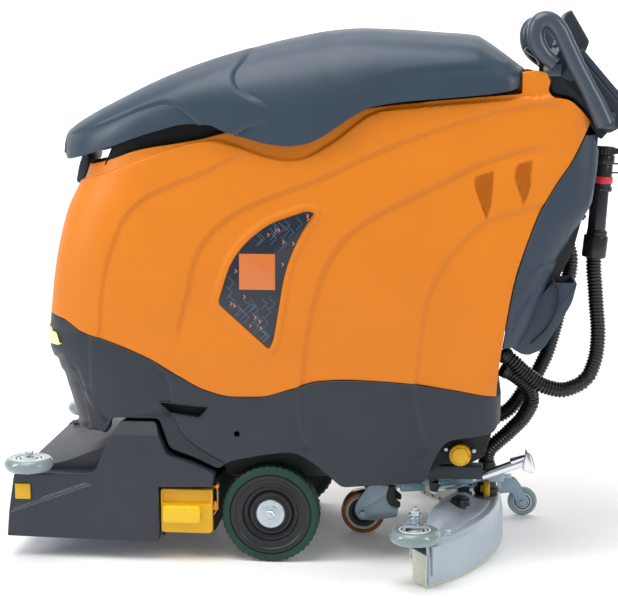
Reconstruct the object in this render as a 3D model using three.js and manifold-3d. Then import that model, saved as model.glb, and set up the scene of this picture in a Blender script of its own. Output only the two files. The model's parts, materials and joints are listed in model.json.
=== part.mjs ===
// A walk-behind wet and dry floor scrubber, in millimetres.
// +Z is up, the machine drives towards -Y, and +X is the side of its debris hopper handle.
// Inside the group, Y = 0 is the drive axle and Z = 0 is the floor.
import * as THREE from 'three';
import { mergeVertices } from 'three/addons/utils/BufferGeometryUtils.js';
import Module from 'manifold-3d';

const wasm = await Module();
wasm.setup();

// ---- driving dimensions ------------------------------------------------------------------
const gap = 0.4;                 // clearance between pieces that touch
const deckFront = -544;          // foremost point of the brush deck
const consoleRear = 702;         // rearmost point of the operator's console
const middle = (deckFront + consoleRear) / 2;

const body = { half: 246, wall: 9, frontCut: 165, rearCut: 70 };
const lid = { wall: 7, hingeY: -405, hingeZ: 817 };
const wheel = { radius: 100, width: 48, outer: 240, rim: 84 };
const caster = { radius: 48, width: 44, y: 176, swivelY: 244, headTop: 158 };
const deck = { half: 255, cover: 38, skirtZ: 40, brushRadius: 54, brushZ: 92 };
const brushY = { front: -458, rear: -341 };
const hopper = { front: -224, rear: -117, bottom: 60, top: 152, half: 250 };
const bumper = { radius: 50, thickness: 27 };
const frontRoller = { x: 275, y: -489, z: 205 };
const squeegee = { arc: 569, apexY: 472, halfX: 385, depth: 48, bottom: 30, top: 90 };
const squeegeeRoller = { x: 381, y: 298, z: 106.5 };
const tail = { x: -165, y: 524, radius: 33 };
const frame = { bottom: 160, top: 188 };
const lever = { x: 93, y: 330, z: 124 };   // pivot of the squeegee's lift lever
const hose = { drain: 33, suction: 34, upper: 33, sides: 8, step: 34, spigot: 19 };
const pivot = { y: 262, z: 135 };          // squeegee arm on the frame
const swingY = 440;                        // squeegee's upright pivot, its suction neck
const starKnob = { x: 150, y: 386 };

// ---- materials ---------------------------------------------------------------------------
function paint(color, roughness, metalness = 0) {
  return new THREE.MeshStandardMaterial({ color, roughness, metalness });
}

const orange = paint(0xf08a1c, 0.45);
const slate = paint(0x3a4653, 0.5);
const lidSlate = paint(0x4d5d6b, 0.45);
const steel = paint(0xa9b4bd, 0.35, 0.8);
const polished = paint(0xd9dde2, 0.15, 1);
const black = paint(0x16181b, 0.6);
const yellow = paint(0xe8b71a, 0.4);
const clearGrey = paint(0xa9b8b6, 0.25);
const greenTyre = paint(0x1d4a3c, 0.7);
const amber = paint(0xb5651d, 0.35);
const lensYellow = paint(0xf3e7a0, 0.2);
const labelBlue = paint(0x2b3440, 0.4);
const creamRubber = paint(0xcfd2c4, 0.5);
const red = paint(0xb3262a, 0.4);
const bristle = paint(0x2a5d9a, 0.8);

// ---- solids ------------------------------------------------------------------------------
const alongX = new THREE.Matrix4().makeBasis(
  new THREE.Vector3(0, 1, 0), new THREE.Vector3(0, 0, 1), new THREE.Vector3(1, 0, 0));

function solid(geometry) {
  const bare = geometry.clone();
  bare.deleteAttribute('normal');
  bare.deleteAttribute('uv');
  const merged = mergeVertices(bare, 1e-4);
  const corners = merged.index.array;
  const kept = [];
  for (let i = 0; i < corners.length; i += 3) {
    const [a, b, c] = corners.slice(i, i + 3);
    if (a !== b && b !== c && c !== a) kept.push(a, b, c);
  }
  return new wasm.Manifold(new wasm.Mesh({
    numProp: 3,
    vertProperties: new Float32Array(merged.attributes.position.array),
    triVerts: new Uint32Array(kept),
  }));
}

function joined(...pieces) {
  return pieces.reduce((whole, piece) => whole.add(piece));
}

// A closed outline from [u, v] or [u, v, cut] points; cut rounds the corner that far each way,
// or nearly half of the shorter side where there is less room.
function outline(points, steps = 3) {
  const at = points.map(([u, v]) => new THREE.Vector2(u, v));
  const path = [];
  points.forEach(([, , cut = 0], i) => {
    if (!cut) {
      path.push(at[i]);
      return;
    }
    const before = at[(i + at.length - 1) % at.length].clone().sub(at[i]);
    const after = at[(i + 1) % at.length].clone().sub(at[i]);
    const reach = Math.min(cut, 0.48 * before.length(), 0.48 * after.length());
    const start = before.setLength(reach).add(at[i]);
    const end = after.setLength(reach).add(at[i]);
    path.push(...new THREE.QuadraticBezierCurve(start, at[i], end).getPoints(steps));
  });
  return new THREE.Shape(path);
}

function extruded(shape, depth) {
  return new THREE.ExtrudeGeometry(shape, { depth, steps: 1, bevelEnabled: false });
}

// A side outline in (y, z) between two x planes.
function slabX(points, x0, x1) {
  const flat = extruded(outline(points), x1 - x0).translate(0, 0, x0);
  return solid(flat.applyMatrix4(alongX));
}

// A plan outline in (x, y) between two heights.
function slabZ(points, z0, z1) {
  return solid(extruded(outline(points), z1 - z0).translate(0, 0, z0));
}

function box(x0, x1, y0, y1, z0, z1) {
  const shape = new THREE.BoxGeometry(x1 - x0, y1 - y0, z1 - z0);
  return solid(shape.translate((x0 + x1) / 2, (y0 + y1) / 2, (z0 + z1) / 2));
}

const turnTo = { x: [0, 0, -Math.PI / 2], y: [0, 0, 0], z: [Math.PI / 2, 0, 0] };

// A turned shape from [radius, height] points about the named axis, with its height 0 at place.
function turned(profile, axis, place, segments = 24) {
  const points = profile.map(([r, h]) => new THREE.Vector2(r, h));
  const shape = new THREE.LatheGeometry(points, segments);
  shape.applyMatrix4(new THREE.Matrix4().makeRotationFromEuler(new THREE.Euler(...turnTo[axis])));
  return solid(shape.translate(...place));
}

function disc(radius, from, to, axis, place, segments = 24) {
  return turned([[0, from], [radius, from], [radius, to], [0, to]], axis, place, segments);
}

// A rod between two points.
function rod(from, to, radius, segments = 10) {
  const a = new THREE.Vector3(...from);
  const b = new THREE.Vector3(...to);
  const shape = new THREE.CylinderGeometry(radius, radius, a.distanceTo(b), segments);
  const turn = new THREE.Quaternion().setFromUnitVectors(
    new THREE.Vector3(0, 1, 0), b.clone().sub(a).normalize());
  shape.applyQuaternion(turn);
  return solid(shape.translate(...a.add(b).multiplyScalar(0.5).toArray()));
}

// A short pipe that a hose starts from, ending just short of the hose's first point.
function spigot(start, next, radius, length) {
  const a = new THREE.Vector3(...start);
  const back = a.clone().sub(new THREE.Vector3(...next)).normalize();
  const end = a.clone().addScaledVector(back, 1.5 * gap);
  const root = a.clone().addScaledVector(back, length);
  return rod(root.toArray(), end.toArray(), radius, 12);
}

// A round tube along a smooth curve through the points.
function tube(points, radius, sides, stepLength) {
  const curve = new THREE.CatmullRomCurve3(points.map((p) => new THREE.Vector3(...p)));
  const steps = Math.round(curve.getLength() / stepLength);
  const ring = new THREE.Shape();
  for (let i = 0; i < sides; i += 1) {
    const turn = 2 * Math.PI * i / sides;
    const place = [radius * Math.cos(turn), radius * Math.sin(turn)];
    if (i === 0) ring.moveTo(...place);
    else ring.lineTo(...place);
  }
  return solid(new THREE.ExtrudeGeometry(ring, { steps, bevelEnabled: false, extrudePath: curve }));
}

// A skin through rings of equal point count, closed by a fan at each end.
function loft(rings) {
  const count = rings[0].length;
  const places = rings.flat().flatMap((p) => p.toArray());
  const faces = [];
  for (let r = 0; r + 1 < rings.length; r += 1) {
    for (let i = 0; i < count; i += 1) {
      const a = r * count + i;
      const b = r * count + (i + 1) % count;
      faces.push(a, b, b + count, a, b + count, a + count);
    }
  }
  for (const [ring, under] of [[0, true], [rings.length - 1, false]]) {
    const hub = rings[ring].reduce((sum, p) => sum.add(p), new THREE.Vector3());
    const centre = places.length / 3;
    places.push(...hub.divideScalar(count).toArray());
    for (let i = 0; i < count; i += 1) {
      const a = ring * count + i;
      const b = ring * count + (i + 1) % count;
      faces.push(centre, under ? b : a, under ? a : b);
    }
  }
  const shape = new THREE.BufferGeometry();
  shape.setAttribute('position', new THREE.Float32BufferAttribute(places, 3));
  shape.setIndex(faces);
  return solid(shape);
}

// A value read off [position, value] pairs, straight between them.
function along(table, at) {
  const next = table.findIndex(([p]) => p >= at);
  if (next === 0) return table[0][1];
  if (next < 0) return table.at(-1)[1];
  const [[p0, v0], [p1, v1]] = [table[next - 1], table[next]];
  return v0 + (v1 - v0) * (at - p0) / (p1 - p0);
}

const machine = new THREE.Group();
machine.position.y = -middle;

function node(name, shape, material) {
  const made = shape.getMesh();
  const geometry = new THREE.BufferGeometry();
  geometry.setAttribute('position', new THREE.BufferAttribute(made.vertProperties, 3));
  geometry.setIndex(new THREE.BufferAttribute(made.triVerts, 1));
  const mesh = new THREE.Mesh(geometry, material);
  mesh.name = name;
  machine.add(mesh);
}

const sides = [['left', 1], ['right', -1]];

// The middle lines of the three hoses behind the tank.
const route = {
  drain: [[120, 473, 416], [118, 492, 400], [115, 506, 386], [112, 520, 374], [109, 538, 360],
    [106, 556, 350], [99, 592, 342], [92, 624, 352], [89, 637, 362], [86, 648, 376],
    [80, 660, 414], [75, 663, 462], [70, 659, 512], [66, 655, 560], [62, 652.5, 590],
    [60, 652, 618.5]],
  suction: [[50, 478, 372], [46, 494, 362], [42, 506, 353], [38, 516, 344], [33, 525, 333],
    [28, 530, 320], [24, 532, 306], [20, 530, 292], [13, 516, 264], [10, 506, 251],
    [7, 494, 238], [4.5, 481, 224], [3, 468, 212], [1, 446, 190], [0, 440.6, 174],
    [0, 440, 159.6]],
  upper: [[-20, 600, 640], [-20, 606, 622], [-20, 610, 604], [-19, 609.5, 582], [-18, 606, 560],
    [-18, 600, 534], [-18, 592, 508], [-18, 580, 456], [-18, 566, 404], [-18, 556, 379],
    [-18, 544, 354], [-18, 531, 333], [-18, 516, 314], [-18, 503, 294], [-18, 489, 277],
    [-18, 472, 264], [-18, 455, 256]],
};

// The lower number first, for a span given on the positive side and wanted on either side.
function span(side, near, far) {
  return side > 0 ? [near, far] : [-far, -near];
}

// ---- the body's outer form ---------------------------------------------------------------
// Front and rear ends of the body at each height, and its half width.
const frontLine = [[150, -380], [262, -428], [330, -448], [407, -474], [433, -481], [490, -477],
  [598, -464], [709, -438], [786, -402], [812, -392], [1000, -392]];
const rearLine = [[150, 452], [290, 470], [350, 476], [430, 497], [500, 530], [600, 566],
  [671, 600], [741, 642], [850, 650], [1000, 640]];
const halfLine = [[150, 244], [490, 246], [800, 240], [840, 236], [1000, 232]];
const levels = [150, 262, 330, 407, 433, 490, 598, 671, 741, 786, 812, 850];

// The plan ring of the body at a height, drawn in by inset all round.
function bodyRing(z, inset) {
  const half = along(halfLine, z) - inset;
  const front = along(frontLine, z) + inset;
  const rear = along(rearLine, z) - inset;
  const ring = outline([
    [half, front, body.frontCut], [half, rear, body.rearCut],
    [-half, rear, body.rearCut], [-half, front, body.frontCut],
  ], 4).getPoints();
  return ring.map((p) => new THREE.Vector3(p.x, p.y, z));
}

function bodyForm(inset, from, to) {
  const heights = [from, ...levels.filter((z) => z > from && z < to), to];
  return loft(heights.map((z) => bodyRing(z, inset)));
}

// The line where the tank sits on the base, dipping over the drive wheel.
const seam = new THREE.SplineCurve([
  [-520, 500], [-431, 494], [-385, 471], [-325, 452], [-244, 419], [-182, 383], [-129, 356],
  [-75, 344], [-20, 345], [45, 362], [100, 378], [160, 382], [262, 378], [361, 366], [457, 352],
].map(([y, z]) => new THREE.Vector2(y, z))).getPoints(26).map((p) => [p.x, p.y]);

// The rear edge of the tank's sides, behind which the rear panel begins.
const tankRear = [[455, 388], [463, 446], [472, 514], [485, 586], [502, 643],
  [521, 695], [538, 734], [564, 780], [594, 826], [628, 896]];

// The tank's upper edge, from the front round the console's foot.
const tankTop = [[610, 918, 12], [586, 940, 12], [553, 944, 8], [543, 958, 6], [548, 975, 6],
  [538, 996, 8], [494, 996], [494, 951], [315, 936], [247, 930], [150, 917], [0, 894],
  [-79, 877], [-139, 861], [-270, 838], [-342, 818], [-420, 802]];

function shifted(points, dy, dz) {
  return points.map(([y, z, cut = 0]) => [y + dy, z + dz, cut]);
}

const width = body.half + 30;

// ---- tank, rear panel and what the tank holds ----------------------------------------------
const tankFloor = 470;
const vents = [
  [[405, 784, 5], [440, 799, 5], [437, 735, 5], [416, 715, 5]],
  [[478, 811, 5], [515, 819, 5], [512, 765, 5], [489, 739, 5]],
];
const recess = { vent: 235.5, label: 242 };   // how far out the floor of each recess lies
const labelOutline = [[90, 720, 8], [40, 563, 12], [8, 447, 10], [-10, 447, 10], [-102, 532, 14],
  [-72, 618, 12], [-24, 678, 10], [42, 710, 8]];

function tankShell() {
  const edge = [...shifted(seam, 0, gap), ...tankRear, ...tankTop];
  let shell = bodyForm(0, 330, 1000).intersect(slabX(edge, -width, width));
  const waste = [[-365, 492, 20], [430, 492, 20], [468, 620], [520, 760, 20], [560, 860, 20],
    [470, 860, 10], [470, 1010], [-370, 1010]];
  shell = shell.subtract(bodyForm(body.wall, 480, 990).intersect(slabX(waste, -width, width)));
  const batteryRoom = [[-300, 300], [420, 300], [432, 400], [428, tankFloor], [-400, tankFloor]];
  shell = shell.subtract(bodyForm(body.wall, 330, tankFloor).intersect(slabX(batteryRoom, -width, width)));
  for (const [, side] of sides) {
    for (const vent of vents) {
      shell = shell.subtract(slabX(vent, ...span(side, recess.vent, width)));
    }
    shell = shell.subtract(slabX(labelOutline, ...span(side, recess.label, width)));
  }
  const ear = [[-388, 791], [-388, 806], [-402, 827, 5], [-413, 822, 4], [-411, 806, 6]];
  shell = joined(shell, slabX(ear, 61, 69), slabX(ear, -69, -61),
    disc(3.2, -66, 66, 'x', [0, lid.hingeY, lid.hingeZ], 8));
  const outlets = [route.drain, route.suction].map(
    ([first, second]) => spigot(first, second, hose.spigot, 30));
  return joined(shell, ...outlets);
}
node('tank_shell', tankShell(), orange);

// The film on each side of the tank, a little smaller than its recess.
function sideLabel(side) {
  const share = 0.985;
  const middleZ = 580;
  const film = labelOutline.map(([y, z, cut]) => [y * share, (z - middleZ) * share + middleZ, cut]);
  return slabX(film, ...span(side, recess.label + gap, recess.label + 2));
}
for (const [name, side] of sides) node(`side_label_${name}`, sideLabel(side), labelBlue);

// The rear panel, set in a little from the tank, with a pocket that stands out of it.
function rearPanel() {
  const inset = 2;
  const wall = 5;
  const [bottom, top] = [450, 872];
  const edge = [...shifted(tankRear.slice(1), 1.5, 0), [645, 905], [720, 860], [720, bottom],
    [468, bottom]];
  let panel = bodyForm(inset, bottom, top).intersect(slabX(edge, -width, width));
  const hollow = [[440, 456], [700, 456], [700, 850], [560, 850], [440, 700]];
  const room = bodyForm(inset + wall, bottom + wall, top - wall);
  panel = panel.subtract(room.intersect(slabX(hollow, -width, width)));
  const cupOuter = [[500, 470], [500, 440, 12], [514, 432, 12], [545, 446, 10], [598, 540, 10],
    [608, 578], [520, 578]];
  const cupInner = [[530, 470], [548, 462, 10], [592, 545, 10], [602, 590], [572, 590]];
  const cup = slabX(cupOuter, 96, 214).subtract(slabX(cupInner, 104, 206));
  const [first, second] = route.upper;
  const cupShell = cup.subtract(bodyForm(inset + wall / 2, 420, 892));
  return joined(panel, cupShell, spigot(first, second, hose.spigot, 26));
}
node('rear_panel', rearPanel(), slate);

// An open basket that hangs by its rim under the lid.
function filterBasket() {
  const wall = 5;
  const rim = 4;
  const [x0, x1, y0, y1, bottom, top] = [-150, -20, 250, 400, 760, 900];
  const outer = joined(
    box(x0, x1, y0, y1, bottom, top),
    box(x0 - rim, x1 + rim, y0 - rim, y1 + rim, top - rim, top),
  );
  return outer.subtract(box(x0 + wall, x1 - wall, y0 + wall, y1 - wall, bottom + wall, top + rim));
}
node('filter_basket', filterBasket(), yellow);

const floatProfile = [[0, -26], [18, -19], [26, 0], [18, 19], [0, 26]];
node('float_ball', turned(floatProfile, 'z', [80, 330, 790], 12), red);

function vacuumMotor() {
  const stand = [80, 40, 494];
  const can = turned([[0, 0], [62, 0], [62, 90], [48, 110], [48, 150], [0, 150]], 'z', stand, 20);
  return can.add(disc(30, 148, 200, 'z', stand, 16));
}
node('vacuum_motor', vacuumMotor(), steel);

// ---- base shell, frame, battery ------------------------------------------------------------
// The lower edge of the base's sides, from the front round the deck tower, the wheel arch and
// the recess of the fresh-water filter.
const baseEdge = [[-420, 262, 10], [-346, 262, 8], [-322, 296, 10], [-226, 296, 8], [-206, 234, 12],
  [-150, 214, 20], [-106, 192, 14], [-84, 210, 14], [-20, 224, 20], [32, 231, 20], [60, 228, 20],
  [96, 205, 20], [146, 161, 10], [312, 175, 8], [330, 220, 20], [352, 262, 24], [451, 277, 8],
  [464, 298, 8], [464, 340]];
const well = { inner: 178, front: -118, rear: 140, top: 236 };
const lampOutline = [[-500, 474], [-455, 466], [-438, 440], [-500, 438]];
const lensOutline = [[-500, 473], [-456, 465], [-440, 441], [-500, 439]];
const lampInner = 100;           // how far out from the middle each headlamp begins

function baseShell() {
  const edge = [...baseEdge, [460, 351.5], ...shifted(seam, 0, -gap).reverse(), [-520, 400]];
  let shell = bodyForm(0, 152, 498).intersect(slabX(edge, -width, width));
  const core = [[-205, frame.top + gap], [382, frame.top + gap], [418, 245], [440, 275],
    [450, 330], [350, 350], [-200, 330]];
  const coreHalf = 200.5;
  shell = shell.subtract(box(-200, 200, -480, 480, 100, frame.top + gap));
  shell = shell.add(slabX(core, -coreHalf, coreHalf).intersect(bodyForm(4, 152, 498)));
  const room = [[-180, 200], [370, 200], [404, 250], [430, 300], [442, 360], [420, 520],
    [-420, 520], [-400, 420], [-330, 310], [-210, 310]];
  shell = shell.subtract(bodyForm(body.wall, 196, 498).intersect(slabX(room, -width, width)));
  const grip = [[-228, 332], [-123, 323], [-143, 298], [-204, 307]];
  for (const [, side] of sides) {
    shell = shell.subtract(joined(
      box(...span(side, well.inner, width), well.front, well.rear, 100, well.top),
      slabX(grip, ...span(side, 220, width)),
      disc(6, ...span(side, 220, width), 'x', [0, -67, 268], 10),
      slabX(lampOutline, ...span(side, lampInner, width)),
    ));
  }
  const [last, before] = [route.upper.at(-1), route.upper.at(-2)];
  return shell.add(spigot(last, before, hose.spigot, 46));
}

function lens(side) {
  const skin = bodyForm(1.5, 430, 480).subtract(bodyForm(11, 420, 490));
  return skin.intersect(slabX(lensOutline, ...span(side, lampInner + gap, width)));
}
node('base_shell', baseShell(), slate);
for (const [name, side] of sides) node(`headlamp_${name}`, lens(side), lensYellow);

function chassisFrame() {
  const { bottom, top } = frame;
  const cross = (front, rear, height) => box(-120, 120, front, rear, bottom, height);
  const ear = { near: lever.x + 11 + gap, far: lever.x + 19, reach: 14 };
  return joined(
    box(110, 150, -104, 430, bottom, top),
    box(-150, -110, -104, 430, bottom, top),
    cross(205, 300, bottom + 10),
    cross(-104, -74, top),
    cross(-40, 40, bottom + 12),
    box(-120, 120, 310, 340, bottom + 8, top),
    box(ear.near, ear.far, lever.y - ear.reach, lever.y + ear.reach, lever.z - ear.reach, bottom + 4),
  );
}
node('chassis_frame', chassisFrame(), steel);

function batteryPack() {
  const block = { half: 165, front: 15, rear: 358, bottom: 202, top: 440 };
  let pack = box(-block.half, block.half, block.front, block.rear, block.bottom, block.top);
  for (const x of [-100, 100]) pack = pack.add(disc(10, 0, 14, 'z', [x, 90, block.top - 2], 8));
  return pack;
}
node('battery_pack', batteryPack(), black);

// ---- lid -----------------------------------------------------------------------------------
// Height of the lid's lower edge and of its crown, its half width and how boxy it is.
const lidLower = [[-434, 846], [-415, 833], [-342, 838], [-225, 876], [-158, 891], [-119, 890],
  [-86, 877], [-33, 861], [6, 852], [39, 849], [72, 853], [105, 867], [137, 888], [170, 910],
  [202, 925], [267, 936], [363, 944], [459, 955], [480, 962], [491, 990]];
const lidCrown = [[-434, 862], [-397, 893], [-319, 934], [-215, 982], [-77, 1029], [45, 1059],
  [106, 1070], [173, 1075], [260, 1072], [327, 1066], [411, 1059], [440, 1040], [491, 1000]];
const lidHalf = [[-434, 105], [-415, 150], [-385, 186], [-342, 212], [-260, 236], [-160, 246],
  [39, 251], [200, 246], [459, 236], [480, 226], [491, 205]];
const lidStations = [-434, -415, -385, -342, -225, -158, -86, -33, 39, 105, 137, 202, 267, 363,
  440, 480, 491];

function lidRing(y, inset) {
  const half = along(lidHalf, y) - inset;
  const low = along(lidLower, y);
  const rise = Math.max(along(lidCrown, y) - inset - low, 6);
  const ring = [];
  const steps = 12;
  for (let i = 0; i <= steps; i += 1) {
    const turn = Math.PI * i / steps;
    const across = Math.sign(Math.cos(turn)) * Math.abs(Math.cos(turn)) ** 0.55;
    const up = Math.sin(turn) ** 0.62;
    ring.push(new THREE.Vector3(-half * across, y, low + rise * up));
  }
  return ring;
}

function lidShell() {
  const outer = loft(lidStations.map((y) => lidRing(y, 0)));
  const hollowStations = lidStations.filter((y) => y > -400 && y < 480);
  const inner = loft(hollowStations.map((y) => lidRing(y, lid.wall)));
  const under = loft(hollowStations.map((y) => lidRing(y, lid.wall).map(
    (p) => new THREE.Vector3(p.x, p.y, Math.min(p.z, along(lidLower, y) + 3) - 3.5))));
  const shell = outer.subtract(inner).subtract(under);
  const lugOutline = [[-421, 842], [-398, 842], [-398, 818, 6], [-412, 810, 6], [-421, 822, 6]];
  const lug = slabX(lugOutline, -60, 60);
  return shell.add(lug.subtract(disc(4, -80, 80, 'x', [0, lid.hingeY, lid.hingeZ], 10)));
}
node('lid_shell', lidShell(), lidSlate);

// ---- operator's console ----------------------------------------------------------------------
const consoleOutline = [[552, 1000, 8], [566, 1044, 14], [590, 1044, 10], [consoleRear, 914, 6],
  [consoleRear, 894, 6], [663, 873, 8], [641, 887, 6], [613, 921, 10], [588, 943.5, 10],
  [556, 947, 8], [546.5, 958, 8], [551.5, 976, 6]];
const consoleHalf = 205;
const slope = { from: [590, 1044], to: [consoleRear, 914] };
const slopeAngle = Math.atan2(slope.from[1] - slope.to[1], slope.to[0] - slope.from[0]);

// A point on the console's sloping face, at a share of its way down, raised by height.
function onSlope(x, share, height) {
  const y = slope.from[0] + (slope.to[0] - slope.from[0]) * share;
  const z = slope.from[1] + (slope.to[1] - slope.from[1]) * share;
  return [x, y + Math.sin(slopeAngle) * height, z + Math.cos(slopeAngle) * height];
}

function onSlopeRod(x, share, radius, from, to, segments = 16) {
  return rod(onSlope(x, share, from), onSlope(x, share, to), radius, segments);
}

// Where each control stands on the slope: across, share of the way down, radius of its hole.
const control = {
  stop: [150, 0.76, 8], key: [-150, 0.5, 14], dial: [-70, 0.64, 22], mode: [70, 0.64, 13],
};
const holeDepth = 8;

function consoleBody() {
  const holes = [control.stop, control.mode].map(([x, share, radius]) =>
    onSlopeRod(x, share, radius + 0.8, -holeDepth, 10));
  return slabX(consoleOutline, -consoleHalf, consoleHalf).subtract(joined(...holes));
}
node('console_body', consoleBody(), slate);

function displayPanel() {
  const shape = [[564, 1046], [582, 1110, 6], [594, 1117, 6], [632, 1052, 8], [618, 1006]];
  const half = 75;
  return slabX(shape, -half, half).subtract(slabX(shifted(consoleOutline, 0, gap), -100, 100));
}
node('display_panel', displayPanel(), slate);

function emergencyStop() {
  const [x, share, stem] = control.stop;
  return onSlopeRod(x, share, 15, 4, 18).add(onSlopeRod(x, share, stem, -4, 8));
}
node('emergency_stop', emergencyStop(), red);

function keySwitch() {
  const [x, share, radius] = control.key;
  const bow = rod(onSlope(x, share - 0.1, 14), onSlope(x, share + 0.1, 14), 5);
  return onSlopeRod(x, share, radius, gap, 10).add(bow);
}
node('key_switch', keySwitch(), black);
node('speed_dial', onSlopeRod(...control.dial, gap, 20, 18), black);
node('mode_button', onSlopeRod(...control.mode, -4, 5), yellow);

// The loop handle on one side: out of the console's lower edge, up, over and back down.
const loopPath = [[655, 892], [640, 925], [622, 960], [600, 1000], [580, 1040], [564, 1072],
  [546, 1091], [527, 1091], [518, 1073], [521, 1048], [535, 1026], [556, 1008]];
function loopHandle(side) {
  const x = 224;
  const grip = tube(loopPath.map(([y, z]) => [side * x, y, z]), 17, 10, 32);
  const foot = box(...span(side, consoleHalf + gap, x), 640, 672, 885, 915);
  const toe = box(...span(side, consoleHalf + gap, x), 546, 566, 984, 1008);
  return joined(grip, foot, toe);
}
for (const [name, side] of sides) node(`loop_handle_${name}`, loopHandle(side), lidSlate);

function driveLever(side) {
  const blade = [[509, 1037, 2], [514, 1044, 2], [551, 1030, 4], [549, 1007, 3], [543, 1004, 3],
    [536, 1018, 6]];
  return slabX(blade, ...span(side, 118, 200));
}
for (const [name, side] of sides) node(`drive_lever_${name}`, driveLever(side), black);

// ---- drain tube ----------------------------------------------------------------------------
function drainTube() {
  const x = 60;
  return joined(
    rod([x, 664, 800], [x, 655, 655], 19, 14),
    rod([x, 656, 660], [x, 652, 622], 25, 14),
    rod([x, 666, 800], [x, 667, 824], 23, 14),
    box(x - 10, x + 10, 640, 660, 780, 800),
  ).subtract(bodyForm(1.6, 425, 892));
}
node('drain_tube', drainTube(), black);

function drainCap() {
  return joined(
    rod([60, 667, 824 + gap], [60, 668, 842], 22, 14),
    box(54, 66, 682, 700, 826, 838),
  ).subtract(bodyForm(0, 425, 892));
}
node('drain_cap', drainCap(), black);

// ---- drive wheels, transaxle and caster ------------------------------------------------------
function tyre(side) {
  const { radius, width: across, outer, rim } = wheel;
  const start = side > 0 ? outer - across : -outer;
  const shoulder = 5;
  const tread = radius + 0.3;
  const profile = [[rim, 2], [radius - shoulder, 0], [tread, shoulder], [tread, across - shoulder],
    [radius - shoulder, across], [rim, across - 2], [rim, 2]];
  return turned(profile, 'x', [start, 0, radius], 24).subtract(box(-300, 300, -30, 30, -5, 0));
}

function rim(side) {
  const { radius, width: across, outer } = wheel;
  const start = side > 0 ? outer - across : -outer;
  const edge = wheel.rim - gap;
  const face = (r, depth) => [r, side > 0 ? across - depth : depth];
  const back = (r, depth) => [r, side > 0 ? depth : across - depth];
  const profile = [back(20, 6), back(edge, 6), face(edge, 2), face(edge - 10, 2),
    face(edge - 18, 12), face(42, 12), face(30, 2), face(20, 2)];
  const ordered = side > 0 ? profile : profile.reverse();
  const dish = turned([...ordered, ordered[0]], 'x', [start, 0, radius], 24);
  const hub = disc(20.5, 8, across - 1, 'x', [start, 0, radius], 24);
  return dish.add(hub);
}

for (const [name, side] of sides) {
  node(`tyre_${name}`, tyre(side), greenTyre);
  node(`rim_${name}`, rim(side), black);
}

function transaxle() {
  const axle = [0, 0, wheel.radius];
  const reach = wheel.outer - wheel.width - gap;
  const top = frame.bottom - gap;
  return joined(
    disc(34, -176, 176, 'x', axle, 20),
    disc(46, -60, 60, 'x', axle, 20),
    disc(12, -reach, reach, 'x', axle, 12),
    box(-100, -80, -30, 30, wheel.radius, top),
    box(80, 100, -30, 30, wheel.radius, top),
  ).intersect(box(-reach, reach, -60, 60, 40, top));
}
node('drive_transaxle', transaxle(), steel);

function casterFork() {
  const { y, swivelY, headTop, radius, width: across } = caster;
  const cheek = [[y - 18, radius - 4, 14], [y - 18, radius + 14, 14], [y + 36, radius + 68, 10],
    [swivelY + 16, radius + 68, 6], [swivelY + 16, radius + 54], [y + 62, radius + 20, 16],
    [y + 18, radius - 14, 14]];
  const half = across / 2;
  return joined(
    slabX(cheek, half + 2, half + 7),
    slabX(cheek, -half - 7, -half - 2),
    box(-half - 7, half + 7, y + 44, swivelY + 16, radius + 60, radius + 68),
    disc(30, radius + 64, headTop - gap, 'z', [0, swivelY, 0], 18),
    disc(6, -half - 10, half + 10, 'x', [0, y, radius], 10)
      .subtract(box(-half - 1.5, half + 1.5, y - 10, y + 10, radius - 10, radius + 10)),
  );
}
node('caster_fork', casterFork(), steel);
const casterTread = [[0, -20], [34, -20], [48, -14], [48, 14], [34, 20], [0, 20]];
node('caster_wheel', turned(casterTread, 'x', [0, caster.y, caster.radius], 20), amber);

// ---- brush deck ------------------------------------------------------------------------------
const coverInner = deck.half - deck.cover;
const coverOutline = [[-544, 46], [-230, deck.skirtZ, 3], [-226, 70], [-228, 156], [-116, 159, 5],
  [-113, 186, 6], [-160, 207, 20], [-210, 224, 12], [-226, 262, 12], [-234, 289, 8], [-306, 289, 8],
  [-318, 268, 10], [-336, 236, 20], [-360, 182, 12], [-527, 178, 6], [-539, 101]];

// The square yellow button of each cover, grown by a margin all round.
function buttonOutline(margin) {
  const [front, rear, low, high] = [-525, -493, 125, 157];
  return [[front - margin, low - margin], [rear + margin, low - margin],
    [rear + margin, high + margin], [front - margin, high + margin]];
}

function deckCover(side) {
  const pocket = slabX(buttonOutline(1.2), ...span(side, deck.half - 12, deck.half + 10));
  return slabX(coverOutline, ...span(side, coverInner + gap, deck.half)).subtract(pocket);
}
for (const [name, side] of sides) {
  node(`deck_cover_${name}`, deckCover(side), slate);
  node(`deck_button_${name}`, slabX(buttonOutline(0), ...span(side, deck.half - 8, deck.half + 2)), yellow);
}

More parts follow.
